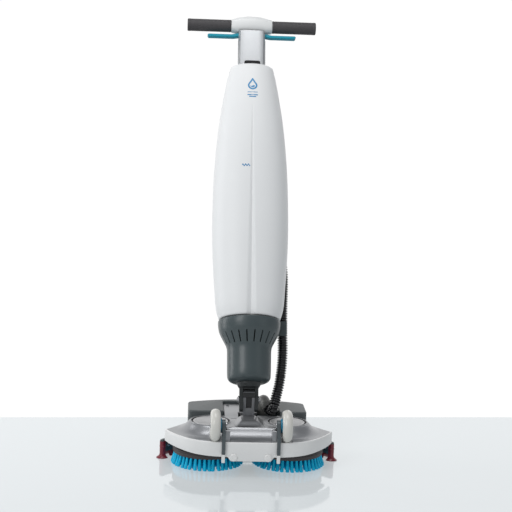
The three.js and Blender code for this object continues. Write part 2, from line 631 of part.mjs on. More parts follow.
function buildSpine(body) {
  const { x, y, bottom, top, wall } = SPINE;
  const outline = (inset) => {
    const [a, b, r] = [x - inset, y - inset, 4];
    const right = [[a - r, -b], [a, -b + r], [a, b - r], [a - r, b]];
    return [...right, ...right.map(([u, v]) => [-u, v]).reverse()];
  };
  const tubeOuter = loft([bottom, top].map((z) => ({ z, outline: outline(0) })));
  const tubeInner = loft([bottom - 1, top + 1].map((z) => ({ z, outline: outline(wall) })));
  const slots = SIDES.map(([, side]) => sideBlock(side, 25, 40, -8.4, 8.4, 962, 990));
  piece(body, 'spine_column', cut(tubeOuter, tubeInner, ...slots), aluminium);
}

function buildHandle(body) {
  piece(body, 'handle_bar', rod(BAR.r, [-BAR.end, 0, BAR.z], [BAR.end, 0, BAR.z], 24), steel);
  const section = (x) => {
    const arch = 1 - (x / COVER_X) ** 2;
    const [bottom, top, depth] = [990 - 3 * Math.min(1, 2 * arch), 1022.5 + 9 * arch, 16.5 + 6 * arch];
    const middle = (top + bottom) / 2;
    return Array.from({ length: 20 }, (_, i) => {
      const angle = 2 * Math.PI * i / 20;
      const [c, s] = [Math.cos(angle), Math.sin(angle)];
      const soft = (t) => Math.sign(t) * Math.abs(t) ** 0.7;
      return [(top - middle) * soft(s) + middle, depth * soft(c)];
    });
  };
  const slices = [-1, -0.8, -0.55, -0.28, 0, 0.28, 0.55, 0.8, 1].map((t) => t * COVER_X);
  // The slices are drawn as (height, depth) along Z; this turn lays their axis along X.
  const moulding = loft(slices.map((x) => ({ z: x, outline: section(x) }))).applyMatrix4(new THREE.Matrix4().makeBasis(
    new THREE.Vector3(0, 0, 1), new THREE.Vector3(0, 1, 0), new THREE.Vector3(1, 0, 0)));
  const panelSeat = block(-34, 34, 20.3, 40, 994, 1024);
  const barBore = rod(BAR.r + GAP, [-80, 0, BAR.z], [80, 0, BAR.z], 24);
  piece(body, 'handle_cover', cut(moulding, barBore, panelSeat), tankWhite);
  const panel = block(-33.6, 33.6, 20.6, 24.5, 994.4, 1023.6);
  const buttonHoles = SIDES.map(([, side]) => rod(6.3, [side * 18, 21, 1009], [side * 18, 30, 1009], 14));
  piece(body, 'console_panel', cut(panel, ...buttonHoles), darkPlastic);
  for (const [name, side] of SIDES) {
    const outer = [[GRIP.r - 1.2, 0.3], [GRIP.r, 2], [GRIP.r, GRIP.length - 4], [GRIP.r - 1.5, GRIP.length]];
    const grip = turnedRing([[BAR.r + GAP, 0.3], ...outer, [BAR.r + GAP, GRIP.length]], 28);
    const mesh = piece(body, `grip_${name}`, grip.rotateY(side * Math.PI / 2), gripGrey);
    mesh.position.set(side * (COVER_X + GAP), 0, BAR.z);
  }
}

function buildTrigger(group, name, side) {
  const { pivot, end, h, d } = TRIGGER;
  const [top, bottom, reach] = [h / 2, -h / 2, end - pivot];
  const outline = [[-5, top + 1], [9, top + 1], [24, top - 2], [reach - 3, top - 2], [reach, top - 5],
    [reach - 3, bottom - 1], [20, bottom - 1], [8, bottom + 1], [-5, bottom + 1]];
  const lever = plate(outline, -d / 2, d / 2).rotateX(Math.PI / 2);
  if (side < 0) lever.rotateZ(Math.PI);
  piece(group, `trigger_${name}`, lever, teal);
}

function buildHose(body) {
  const curve = smoothCurve([
    [66, 37.5, -4.8], [71.5, 39.5, 18], [78, 41, 45], [83, 42, 77], [86.2, 43, 109], [87.3, 43, 141], [86.8, 43, 170],
    [86.5, 43, 205], [86.8, 43, 245], [88, 43, 291], [88, 43, 328], [84, 43, 370], [79, 43, 396], [78, 43, 411.4],
  ]);
  const lower = new THREE.CatmullRomCurve3(stretch(curve, 0, 0.18));
  const upper = new THREE.CatmullRomCurve3(stretch(curve, 0.1815, 1));
  piece(body, 'hose_lower', tube(lower, HOSE_R, 8, 10), hoseBlack);
  piece(body, 'hose_upper', tube(upper, HOSE_R, 24, 10), hoseBlack);
}

// Points along part of a curve, close enough together for the tube's steps.
function stretch(curve, from, to) {
  const count = Math.ceil(40 * (to - from)) + 2;
  return Array.from({ length: count + 1 }, (_, i) => curve.getPointAt(from + (to - from) * i / count));
}

// ---------------------------------------------------------------- assembly
const machine = new THREE.Group();
const group = (parent, name, x, y, z) => {
  const made = new THREE.Group();
  made.name = name;
  made.position.set(x, y, z);
  parent.add(made);
  return made;
};

const deck = group(machine, 'deck', 0, 0, 0);
buildDeck(deck);
for (const [name, side] of SIDES) {
  buildBrush(group(deck, `brush_${name}_axis`, side * BRUSH_X, 0, 0), name);
  buildWheel(group(deck, `wheel_${name}_axis`, side * WHEEL.x, WHEEL.y, WHEEL.z), name, side);
}
buildJoint(group(machine, 'joint', 0, 0, 0));

const body = group(machine, 'body', ...PIVOT.toArray());
body.rotation.x = -TILT_BACK;
buildFork(body);
buildMotorHousing(body);
buildFan(group(body, 'fan_axis', 0, 0, 0));
buildSpine(body);
buildRear(body);
buildBattery(group(body, 'battery', 0, 0, 0));
buildCleanTank(group(body, 'clean_tank_body', 0, 0, 0));
buildHandle(body);
buildHose(body);
for (const [name, side] of SIDES) {
  buildTrigger(group(body, `trigger_${name}_axis`, side * TRIGGER.pivot, 0, TRIGGER.z), name, side);
}
const latch = loft([
  { z: 880.3, outline: [[-21.5, -44], [21.5, -44], [21.5, -20.4], [-21.5, -20.4]] },
  { z: 888, outline: [[-20, -42], [20, -42], [20, -20.4], [-20, -20.4]] },
  { z: 891, outline: [[-17, -38], [17, -38], [17, -20.4], [-17, -20.4]] },
]);
piece(group(body, 'latch', 0, 0, 0), 'tank_latch', latch, darkPlastic);
for (const [name, x] of [['power_button', -18], ['boost_button', 18]]) {
  piece(group(body, `${name}_axis`, x, 23.3, 1009), name, rod(6, [0, 0, 0], [0, 4.5, 0], 14), teal);
}

// Stand the machine on its own base: the origin is the middle of the bottom of its box.
const CORDS = ['hose_lower', 'hose_upper'];
machine.updateMatrixWorld(true);
const extent = new THREE.Box3();
machine.traverse((node) => {
  if (node.isMesh && !CORDS.includes(node.name)) extent.expandByObject(node, true);
});
machine.position.set(-(extent.min.x + extent.max.x) / 2, -(extent.min.y + extent.max.y) / 2, -extent.min.z);
machine.updateMatrixWorld(true);

export default machine;
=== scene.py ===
"""A walk-behind wet dry floor scrubber: the looks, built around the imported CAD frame.

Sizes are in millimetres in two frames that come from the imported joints: deck(x, y, z) is the deck's, with
its origin on the floor midway between the brush axes, and body(u, v, w) is the tilted body's, with w up
along its spine from the tilt pin.
"""
import json
import math
import random

import bmesh
import bpy
from mathutils import Matrix, Vector


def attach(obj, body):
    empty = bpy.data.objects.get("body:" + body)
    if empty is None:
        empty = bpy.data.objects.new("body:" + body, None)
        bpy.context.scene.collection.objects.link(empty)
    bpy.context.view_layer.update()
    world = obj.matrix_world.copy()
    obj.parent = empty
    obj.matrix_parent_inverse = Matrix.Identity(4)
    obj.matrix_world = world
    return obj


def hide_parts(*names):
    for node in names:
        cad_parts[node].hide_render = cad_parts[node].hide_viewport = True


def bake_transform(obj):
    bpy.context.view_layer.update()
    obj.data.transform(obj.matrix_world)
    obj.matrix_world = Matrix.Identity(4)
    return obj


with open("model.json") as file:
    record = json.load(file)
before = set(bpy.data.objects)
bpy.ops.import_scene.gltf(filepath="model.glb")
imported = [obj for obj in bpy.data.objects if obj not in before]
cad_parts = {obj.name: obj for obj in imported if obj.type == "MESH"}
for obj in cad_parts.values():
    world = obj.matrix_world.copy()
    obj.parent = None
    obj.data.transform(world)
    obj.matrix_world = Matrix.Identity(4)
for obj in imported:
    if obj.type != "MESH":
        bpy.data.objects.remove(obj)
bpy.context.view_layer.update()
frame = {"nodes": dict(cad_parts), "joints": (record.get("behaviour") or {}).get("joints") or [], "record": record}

MM = 0.001
SIDES = (("left", -1), ("right", 1))
JOINT = {j["name"]: j for j in frame["joints"]}
BRUSH_AXIS = {name: Vector(JOINT[f"brush_{name}_spin"]["pos_m"]) for name, _ in SIDES}
DECK_ORIGIN = (BRUSH_AXIS["left"] + BRUSH_AXIS["right"]) / 2
DECK_ORIGIN.z = 0
PIVOT = Vector(JOINT["body_tilt"]["pos_m"])
BODY_UP = Vector(JOINT["fan_spin"]["axis"])
BODY_BACK = Vector(JOINT["battery_slide"]["axis"])


def deck(x, y, z):
    return DECK_ORIGIN + Vector((x, y, z)) * MM


def body(u, v, w):
    return PIVOT + (Vector((u, 0, 0)) + BODY_BACK * v + BODY_UP * w) * MM


def clamp(value, low=0.0, high=1.0):
    return max(low, min(high, value))


# ------------------------------------------------------------------ camera
CAMERA = {"distance": 3200, "height": 930, "yaw": 3.566, "pitch": 7.501, "roll": 1.9, "aim_x": 4.3, "lens": 94.58}


def make_camera():
    yaw, pitch, roll = (math.radians(CAMERA[k]) for k in ("yaw", "pitch", "roll"))
    ahead = Vector((math.sin(yaw) * math.cos(pitch), math.cos(yaw) * math.cos(pitch), -math.sin(pitch)))
    side = Vector((math.cos(yaw), -math.sin(yaw), 0))
    above = side.cross(ahead)
    right = side * math.cos(roll) + above * math.sin(roll)
    up = above * math.cos(roll) - side * math.sin(roll)
    place = deck(
        -CAMERA["distance"] * math.sin(yaw) + CAMERA["aim_x"] * math.cos(yaw),
        -CAMERA["distance"] * math.cos(yaw) - CAMERA["aim_x"] * math.sin(yaw),
        CAMERA["height"],
    )
    data = bpy.data.cameras.new("camera")
    data.lens = CAMERA["lens"]
    data.sensor_width = 36
    camera = bpy.data.objects.new("camera", data)
    turn = Matrix((right, up, -ahead)).transposed()
    camera.matrix_world = Matrix.Translation(place) @ turn.to_4x4()
    bpy.context.scene.collection.objects.link(camera)
    bpy.context.scene.camera = camera


make_camera()


# ------------------------------------------------------------------ materials
def add_node(mat, kind, **values):
    node = mat.node_tree.nodes.new(kind)
    for key, value in values.items():
        if key in node.inputs:
            node.inputs[key].default_value = value
        else:
            setattr(node, key, value)
    return node


def finish_of(
    name, color, rough, metal=0.0, mottle=0.05, mottle_scale=14, grain=900, bump=0.04, stretch=(1, 1, 1),
    rough_spread=0.08, coat=0.0, edge_wear_and_glint=0.0, edge_wear_and_glint_color=(0.6, 0.6, 0.6), sheen=0.0, specular=0.5,
):
    """A procedural finish: broad colour variation, a fine grain in bump and roughness, and a second colour on sharp
    edges, which is wear on most parts and a painted highlight on the hose's rib crests.
    """
    mat = bpy.data.materials.new(name)
    mat.use_nodes = True
    link = mat.node_tree.links.new
    bsdf = mat.node_tree.nodes["Principled BSDF"]
    bsdf.inputs["Metallic"].default_value = metal
    bsdf.inputs["Coat Weight"].default_value = coat
    bsdf.inputs["Coat Roughness"].default_value = 0.12
    bsdf.inputs["Sheen Weight"].default_value = sheen
    bsdf.inputs["Specular IOR Level"].default_value = specular
    coords = add_node(mat, "ShaderNodeTexCoord")
    mapping = add_node(mat, "ShaderNodeMapping", Scale=stretch)
    link(coords.outputs["Object"], mapping.inputs["Vector"])
    broad = add_node(mat, "ShaderNodeTexNoise", Scale=mottle_scale, Detail=5.0, Roughness=0.6)
    fine = add_node(mat, "ShaderNodeTexNoise", Scale=grain, Detail=3.0, Roughness=0.55)
    link(coords.outputs["Object"], broad.inputs["Vector"])
    link(mapping.outputs["Vector"], fine.inputs["Vector"])
    both = add_node(mat, "ShaderNodeMath", operation="ADD")
    link(broad.outputs["Fac"], both.inputs[0])
    link(fine.outputs["Fac"], both.inputs[1])
    ramp = add_node(mat, "ShaderNodeValToRGB")
    ramp.color_ramp.elements[0].position = 0.3
    ramp.color_ramp.elements[1].position = 0.7
    ramp.color_ramp.elements[0].color = (*[c * (1 - mottle) for c in color], 1)
    ramp.color_ramp.elements[1].color = (*[min(1, c * (1 + mottle)) for c in color], 1)
    half = add_node(mat, "ShaderNodeMath", operation="MULTIPLY")
    half.inputs[1].default_value = 0.5
    link(both.outputs[0], half.inputs[0])
    link(half.outputs[0], ramp.inputs["Fac"])
    shade = ramp.outputs["Color"]
    # Sharp edges found by pointiness take a second colour: real wear on most finishes, a painted highlight on the
    # hose's ribs.
    if edge_wear_and_glint:
        edge = add_node(mat, "ShaderNodeNewGeometry")
        edge_wear_and_glint_mask = add_node(mat, "ShaderNodeMapRange")
        edge_wear_and_glint_mask.inputs["From Min"].default_value = 0.52
        edge_wear_and_glint_mask.inputs["From Max"].default_value = 0.62
        edge_wear_and_glint_mask.inputs["To Max"].default_value = edge_wear_and_glint
        link(edge.outputs["Pointiness"], edge_wear_and_glint_mask.inputs["Value"])
        patch = add_node(mat, "ShaderNodeMath", operation="MULTIPLY")
        link(edge_wear_and_glint_mask.outputs["Result"], patch.inputs[0])
        link(fine.outputs["Fac"], patch.inputs[1])
        blend = add_node(mat, "ShaderNodeMix", data_type="RGBA")
        link(patch.outputs[0], blend.inputs["Factor"])
        link(shade, blend.inputs["A"])
        blend.inputs["B"].default_value = (*edge_wear_and_glint_color, 1)
        shade = blend.outputs["Result"]
    link(shade, bsdf.inputs["Base Color"])
    spread = add_node(mat, "ShaderNodeMapRange")
    spread.inputs["To Min"].default_value = max(0.03, rough - rough_spread)
    spread.inputs["To Max"].default_value = min(1.0, rough + rough_spread)
    link(half.outputs[0], spread.inputs["Value"])
    link(spread.outputs["Result"], bsdf.inputs["Roughness"])
    relief = add_node(mat, "ShaderNodeBump", Strength=bump, Distance=0.001)
    link(fine.outputs["Fac"], relief.inputs["Height"])
    link(relief.outputs["Normal"], bsdf.inputs["Normal"])
    return mat


TANK_WHITE = finish_of("tank_white", (0.78, 0.79, 0.795), 0.44, mottle=0.012, grain=1400, bump=0.03, specular=0.35)
HANDLE_WHITE = finish_of("handle_white", (0.7, 0.71, 0.71), 0.4, mottle=0.015, grain=1500, bump=0.05)
SKIRT_WHITE = finish_of("skirt_white", (0.8, 0.8, 0.795), 0.42, mottle=0.03, grain=1100, bump=0.05, edge_wear_and_glint=0.25,
                        edge_wear_and_glint_color=(0.6, 0.6, 0.58))
FOOT_WHITE = finish_of("foot_white", (0.8, 0.8, 0.79), 0.45, mottle=0.03, grain=900, bump=0.05)
DECK_SILVER = finish_of("deck_silver", (0.31, 0.317, 0.33), 0.36, metal=0.78, mottle=0.02, mottle_scale=5, grain=2600,
                        bump=0.02, rough_spread=0.015, coat=0.2, edge_wear_and_glint=0.15, edge_wear_and_glint_color=(0.5, 0.5, 0.5))
LID_GREY = finish_of("lid_grey", (0.45, 0.45, 0.455), 0.38, metal=0.6, mottle=0.05, grain=1800, bump=0.05)
HOUSING_GREY = finish_of("housing_grey", (0.052, 0.071, 0.076), 0.36, mottle=0.06, grain=1600, bump=0.06, coat=0.1,
                         edge_wear_and_glint=0.25, edge_wear_and_glint_color=(0.16, 0.18, 0.19))
HOOD_GREY = finish_of("hood_grey", (0.062, 0.073, 0.076), 0.42, mottle=0.06, grain=1500, bump=0.07, edge_wear_and_glint=0.25,
                      edge_wear_and_glint_color=(0.25, 0.27, 0.27))
BRACKET_GREY = finish_of("bracket_grey", (0.15, 0.155, 0.165), 0.38, metal=0.35, mottle=0.06, grain=1300, bump=0.05,
                         edge_wear_and_glint=0.4, edge_wear_and_glint_color=(0.4, 0.4, 0.4))
PLATE_GREY = finish_of("plate_grey", (0.075, 0.092, 0.1), 0.38, metal=0.3, mottle=0.06, grain=1200, bump=0.06, edge_wear_and_glint=0.35,
                       edge_wear_and_glint_color=(0.3, 0.32, 0.33))
BLACK = finish_of("black_plastic", (0.016, 0.016, 0.017), 0.4, mottle=0.1, grain=1500, bump=0.06, edge_wear_and_glint=0.2,
                  edge_wear_and_glint_color=(0.08, 0.08, 0.08))
LATCH_BLACK = finish_of("latch_black", (0.006, 0.006, 0.007), 0.55, mottle=0.1, grain=1500, bump=0.05, specular=0.2)
BLOCK_BROWN = finish_of("brush_block", (0.048, 0.041, 0.042), 0.5, mottle=0.12, grain=700, bump=0.1)
BRISTLE = finish_of("bristle_blue", (0.0, 0.5, 0.84), 0.42, mottle=0.3, mottle_scale=90, grain=2400, bump=0.4,
                    stretch=(1, 1, 0.04), specular=0.25)
SQUEEGEE = finish_of("squeegee_red", (0.19, 0.016, 0.028), 0.34, mottle=0.12, mottle_scale=30, grain=800, bump=0.05)
TYRE = finish_of("tyre_white", (0.66, 0.65, 0.61), 0.26, mottle=0.03, grain=700, bump=0.05, rough_spread=0.06, coat=0.2)
TEAL_HUB = finish_of("hub_teal", (0.008, 0.19, 0.32), 0.35, mottle=0.06, grain=1200, bump=0.05)
TEAL_LEVER = finish_of("lever_teal", (0.0, 0.27, 0.37), 0.42, mottle=0.05, grain=1200, bump=0.06, specular=0.3)
FORK_DARK = finish_of("fork_dark", (0.022, 0.026, 0.027), 0.42, mottle=0.08, grain=1300, bump=0.08, edge_wear_and_glint=0.3,
                      edge_wear_and_glint_color=(0.12, 0.13, 0.13))
GRIP = finish_of("grip_rubber", (0.05, 0.047, 0.05), 0.62, mottle=0.06, grain=1900, bump=0.3, rough_spread=0.1)
# The hose's lighter edge colour is a painted highlight: grey glints along the crest of each rib.
HOSE = finish_of("hose_black", (0.010, 0.010, 0.012), 0.22, mottle=0.15, mottle_scale=40, grain=600, bump=0.03,
                 rough_spread=0.08, coat=0.3, edge_wear_and_glint=0.6, edge_wear_and_glint_color=(0.17, 0.17, 0.18))
ALUMINIUM = finish_of("aluminium", (0.56, 0.575, 0.59), 0.34, metal=0.6, mottle=0.03, mottle_scale=5, grain=1500, bump=0.05,
                      stretch=(1, 0.06, 0.06), rough_spread=0.07)
STEEL = finish_of("steel", (0.47, 0.47, 0.48), 0.26, metal=1.0, mottle=0.06, grain=1500, bump=0.04, stretch=(1, 0.1, 0.1))
PIPE_GREY = finish_of("pipe_grey", (0.235, 0.235, 0.222), 0.45, mottle=0.06, grain=900, bump=0.06)
EMBLEM_BLUE = finish_of("emblem_blue", (0.0, 0.2, 0.44), 0.32, mottle=0.03, grain=1500, bump=0.02)
GLASS_DARK = finish_of("display_dark", (0.006, 0.007, 0.009), 0.08, mottle=0.1, grain=200, bump=0.0, rough_spread=0.02, coat=0.6)
LAMP = finish_of("lamp_green", (0.03, 0.42, 0.1), 0.25, mottle=0.05, grain=500, bump=0.02)


# ------------------------------------------------------------------ mesh tools
def piece(name, points, faces, material, on, replaces=(), bevel=0.0, smooth=38, slot=None, weld=False):
    mesh = bpy.data.meshes.new(name)
    mesh.from_pydata([tuple(p) for p in points], [], faces)
    made = bmesh.new()
    made.from_mesh(mesh)
    if weld:
        bmesh.ops.remove_doubles(made, verts=made.verts, dist=1e-6)
    bmesh.ops.recalc_face_normals(made, faces=made.faces)
    made.to_mesh(mesh)
    made.free()
    obj = bpy.data.objects.new(name, mesh)
    bpy.context.scene.collection.objects.link(obj)
    return dressed(obj, material, on, replaces, bevel, smooth, slot)


def dressed(obj, material, on, replaces=(), bevel=0.0, smooth=38, slot=None):
    """Gives a mesh object its finish, soft edges and body."""
    obj.data.materials.clear()
    obj.data.materials.append(material)
    obj.data.shade_smooth()
    obj.data.set_sharp_from_angle(angle=math.radians(smooth))
    if bevel:
        edge = obj.modifiers.new("edges", "BEVEL")
        edge.width = bevel * MM
        edge.segments = 3
        edge.limit_method = "ANGLE"
        edge.angle_limit = math.radians(smooth)
        edge.harden_normals = True
    if replaces:
        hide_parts(*([replaces] if isinstance(replaces, str) else replaces))
        first = replaces if isinstance(replaces, str) else replaces[0]
        slot = slot or SLOT_OF[first]
    if on:
        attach(obj, on)
    return obj


SLOT_OF = {s["node"]: s["material_slot"] for s in frame["record"]["subparts"]}


def refined(node, name, material, on, bevel=0.6, smooth=38):
    """A CAD node's own shape with merged facets and rounded edges."""
    made = bmesh.new()
    made.from_mesh(frame["nodes"][node].data)
    bmesh.ops.remove_doubles(made, verts=made.verts, dist=1e-5)
    bmesh.ops.dissolve_limit(made, angle_limit=math.radians(0.5), verts=made.verts, edges=made.edges)
    mesh = bpy.data.meshes.new(name)
    made.to_mesh(mesh)
    made.free()
    obj = bpy.data.objects.new(name, mesh)
    bpy.context.scene.collection.objects.link(obj)
    return dressed(obj, material, on, node, bevel, smooth)


def skin(rings, closed_ring=True, caps=True):
    """Points and faces of a surface through rings of equal length."""
    count = len(rings[0])
    points = [p for ring in rings for p in ring]
    faces = []
    span = count if closed_ring else count - 1
    for level in range(len(rings) - 1):
        for i in range(span):
            a, b = level * count + i, level * count + (i + 1) % count
            faces.append((a, b, b + count, a + count))
    if caps:
        faces.append(tuple(reversed(range(count))))
        faces.append(tuple((len(rings) - 1) * count + i for i in range(count)))
    return points, faces


def turned(profile, place, sides=64, loop=False):
    """A profile of (radius, height) turned about an axis; place(x, y, z) puts the result in the scene."""
    rings = []
    for radius, height in profile:
        ring = []
        for i in range(sides):
            angle = 2 * math.pi * i / sides
            ring.append(place(radius * math.cos(angle), radius * math.sin(angle), height))
        rings.append(ring)
    if loop:
        rings.append(rings[0])
        points, faces = skin(rings, caps=False)
        last = (len(rings) - 1) * sides
        faces = [tuple(i - last if i >= last else i for i in face) for face in faces]
        return points[:last], faces
    return skin(rings)


def arc(center, radius, start, stop, steps):
    """Points on a circle in a profile, angles in degrees."""
    return [
        (
            center[0] + radius * math.cos(math.radians(start + (stop - start) * i / steps)),
            center[1] + radius * math.sin(math.radians(start + (stop - start) * i / steps)),
        )
        for i in range(steps + 1)
    ]


def rounded(outline, radius, steps=4):
    """A closed outline with each corner turned into an arc-like bend of about that radius."""
    made = []
    count = len(outline)
    for i, corner in enumerate(outline):
        here = Vector(corner)
        before, after = Vector(outline[i - 1]) - here, Vector(outline[(i + 1) % count]) - here
        reach = min(radius, before.length * 0.45, after.length * 0.45)
        start, end = here + before.normalized() * reach, here + after.normalized() * reach
        for k in range(steps + 1):
            t = k / steps
            made.append(tuple(start * (1 - t) ** 2 + here * 2 * t * (1 - t) + end * t**2))
    return made


def smooth_route(points, step=4.0):
    """A centripetal curve through points in mm, resampled evenly at about that step."""
    knots = [Vector(p) for p in points]
    knots = [knots[0] * 2 - knots[1], *knots, knots[-1] * 2 - knots[-2]]
    fine = []
    for i in range(1, len(knots) - 2):
        p0, p1, p2, p3 = knots[i - 1 : i + 3]
        t0 = 0.0
        t1 = t0 + (p1 - p0).length ** 0.5
        t2 = t1 + (p2 - p1).length ** 0.5
        t3 = t2 + (p3 - p2).length ** 0.5
        for k in range(24):
            t = t1 + (t2 - t1) * k / 24
            a1 = p0.lerp(p1, (t - t0) / (t1 - t0))
            a2 = p1.lerp(p2, (t - t1) / (t2 - t1))
            a3 = p2.lerp(p3, (t - t2) / (t3 - t2))
            b1 = a1.lerp(a2, (t - t0) / (t2 - t0))
            b2 = a2.lerp(a3, (t - t1) / (t3 - t1))
            fine.append(b1.lerp(b2, (t - t1) / (t2 - t1)))
    fine.append(knots[-2])
    return resampled(fine, step)


def resampled(points, step):
    lengths = [0.0]
    for a, b in zip(points, points[1:]):
        lengths.append(lengths[-1] + (b - a).length)
    count = max(2, round(lengths[-1] / step))
    made = []
    j = 0
    for i in range(count + 1):
        target = lengths[-1] * i / count
        while j < len(points) - 2 and lengths[j + 1] < target:
            j += 1
        part = (target - lengths[j]) / max(1e-9, lengths[j + 1] - lengths[j])
        made.append(points[j].lerp(points[j + 1], clamp(part)))
    return made


def route_length(points):
    return sum((b - a).length for a, b in zip(points, points[1:]))


def tube(route, radius_at, sides=24, bore=0.0):
    """A round tube along a route; radius_at(distance) gives its outer radius, bore closes it on a hollow."""
    rings, inner = [], []
    across = Vector((1, 0, 0))
    run = 0.0
    for i, here in enumerate(route):
        along = (route[min(i + 1, len(route) - 1)] - route[max(i - 1, 0)]).normalized()
        across = (across - along * across.dot(along)).normalized()
        other = along.cross(across)
        if i:
            run += (here - route[i - 1]).length
        circle = [across * math.cos(2 * math.pi * k / sides) + other * math.sin(2 * math.pi * k / sides) for k in range(sides)]
        rings.append([here + d * radius_at(run) for d in circle])
        inner.append([here + d * bore for d in circle])
    if not bore:
        return skin(rings)
    rings += list(reversed(inner))
    rings.append(rings[0])
    points, faces = skin(rings, caps=False)
    last = (len(rings) - 1) * sides
    return points[:last], [tuple(i - last if i >= last else i for i in face) for face in faces]


def strip(path, section):
    """A band along a plan path: section(station) gives (distance outward, z) corners."""
    rings = []
    for i, station in enumerate(path):
        before, after = path[max(i - 1, 0)], path[min(i + 1, len(path) - 1)]
        along = Vector((after[0] - before[0], after[1] - before[1])).normalized()
        rings.append([deck(station[0] + out * along.y, station[1] - out * along.x, z) for out, z in section(station)])
    return skin(rings)


def carve(obj, *tools):
    """Cuts closed tool meshes, given as (points, faces), out of an object."""
    for points, faces in tools:
        mesh = bpy.data.meshes.new("tool")
        mesh.from_pydata([tuple(p) for p in points], [], faces)
        made = bmesh.new()
        made.from_mesh(mesh)
        bmesh.ops.recalc_face_normals(made, faces=made.faces)
        made.to_mesh(mesh)
        made.free()
        tool = bpy.data.objects.new("tool", mesh)
        bpy.context.scene.collection.objects.link(tool)
        cutter = obj.modifiers.new("cut", "BOOLEAN")
        cutter.object = tool
        cutter.operation = "DIFFERENCE"
        cutter.solver = "EXACT"
        bpy.context.view_layer.update()
        evaluated = obj.evaluated_get(bpy.context.evaluated_depsgraph_get())
        result = bpy.data.meshes.new_from_object(evaluated)
        obj.modifiers.clear()
        obj.data = result
        bpy.data.objects.remove(tool)
    return obj


def raw(name, points, faces):
    """A bare mesh object with its faces pointing out, ready to be cut and dressed."""
    mesh = bpy.data.meshes.new(name)
    mesh.from_pydata([tuple(p) for p in points], [], faces)
    made = bmesh.new()
    made.from_mesh(mesh)
    bmesh.ops.recalc_face_normals(made, faces=made.faces)
    made.to_mesh(mesh)
    made.free()
    obj = bpy.data.objects.new(name, mesh)
    bpy.context.scene.collection.objects.link(obj)
    return obj


def box_of(place, x0, x1, y0, y1, z0, z1):
    ring = lambda z: [place(x, y, z) for x, y in ((x0, y0), (x1, y0), (x1, y1), (x0, y1))]
    return skin([ring(z0), ring(z1)])


# ------------------------------------------------------------------ suction hose, boot and elbow
HOSE_R = 12.5
HOSE_ROUTE = [
    (66, 37.5, -4.8), (71.5, 39.5, 18), (78, 41, 45), (83, 42, 77), (86.2, 43, 109), (87.3, 43, 141), (86.8, 43, 170),
    (86.5, 43, 205), (86.8, 43, 245), (88, 43, 291), (88, 43, 328), (84, 43, 370), (79, 43, 396), (78, 43, 411.4),
]
HOSE_SPLIT = 0.18
RIB_PITCH = 6.4


def ribbed(run):
    """Outer radius of the corrugated hose, in metres, along its run in metres."""
    phase = (run / (RIB_PITCH * MM)) % 1
    crest = math.sin(math.pi * phase / 0.6) if phase < 0.6 else 0.0
    return (HOSE_R - 2.9 + 3.8 * crest**0.8) * MM


def make_hose():
    whole = [body(*p) for p in smooth_route(HOSE_ROUTE, 0.65)]
    cut = round(len(whole) * HOSE_SPLIT)
    lower_route, upper_route = whole[: cut + 1], whole[cut:]
    lower = piece("suction_hose_lower", *tube(lower_route, ribbed), HOSE, None, "hose_lower", smooth=60)
    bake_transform(lower)
    upper = piece("suction_hose_upper", *tube(upper_route, ribbed), HOSE, None, "hose_upper", smooth=60)
    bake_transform(upper)


BOOT_START, BOOT_END, BOOT_REACH = Vector((51, 92, 117)), Vector((66, 64, 128)), 20
BOOT_LEAVE, BOOT_ARRIVE = Vector((0.55, -0.45, -0.7)).normalized(), Vector((0.15, 0.3, 0.94)).normalized()


def bezier(p0, p1, p2, p3, steps):
    made = []
    for i in range(steps + 1):
        t = i / steps
        made.append(p0 * (1 - t) ** 3 + p1 * 3 * t * (1 - t) ** 2 + p2 * 3 * t * t * (1 - t) + p3 * t**3)
    return made


def make_suction():
    bend = bezier(BOOT_START, BOOT_START + BOOT_LEAVE * BOOT_REACH, BOOT_END - BOOT_ARRIVE * BOOT_REACH, BOOT_END, 140)
    bend = [deck(*p) for p in bend]
    whole = route_length(bend)

    def boot_radius(run):
        return (13.6 if run < 7 * MM else ribbed(run - whole) / MM) * MM

    piece("hose_boot_moulded", *tube(bend, boot_radius, 40), HOSE, "deck", "hose_boot", smooth=50)
    end = BOOT_START - BOOT_LEAVE * 0.3
    route = smooth_route(
        [(41, 127, 88.4), (41, 127, 100), (41, 125.5, 114), (41.6, 119, 126), (44, 109, 128),
         tuple(BOOT_START - BOOT_LEAVE * 4), tuple(end)], 1.5)
    route = [deck(*p) for p in route]
    length = route_length(route)

    def elbow_radius(run):
        collar = 0.9 if run > length - 9 * MM or run < 5 * MM else 0.0
        return (12.9 + collar) * MM

    piece("suction_elbow_pipe", *tube(route, elbow_radius, 48), PIPE_GREY, "deck", "suction_elbow", smooth=50)
    refined("suction_duct", "suction_duct_box", HOUSING_GREY, "deck", bevel=2.0)


make_hose()
make_suction()


# ------------------------------------------------------------------ deck
SKIRT_TOP = 82.5
SKIRT_WALL = 4.0
RIM_Z = 82.0
TOP_Z = 104.0
LID = {"x": 93.4, "y": -6, "r": 43.8, "hole": 47, "ring": 52}
FLAT_FRONT_Y = -64
COVE = 34
HOOD_FRONT_Y = 53
HOOD_TOP = 113
HOOD_X = 147
WHEEL = {"x": 84.8, "y": -104, "z": 118, "r": 38.5, "w": 24}
EDGE_HALF = [(203.5, -14), (192.5, -38), (172, -69), (141.5, -101), (105, -119), (60, -125)]
EDGE_POINTS = [(-x, y, 0) for x, y in EDGE_HALF] + [(0, -126, 0)] + [(x, y, 0) for x, y in reversed(EDGE_HALF)]


def edge_path(inset, step):
    """The skirt's outer line in plan from left to right, moved inward."""
    route = smooth_route(EDGE_POINTS, step)
    made = []
    for i, here in enumerate(route):
        along = (route[min(i + 1, len(route) - 1)] - route[max(i - 1, 0)]).normalized()
        made.append((here.x - along.y * inset, here.y + along.x * inset))
    return made


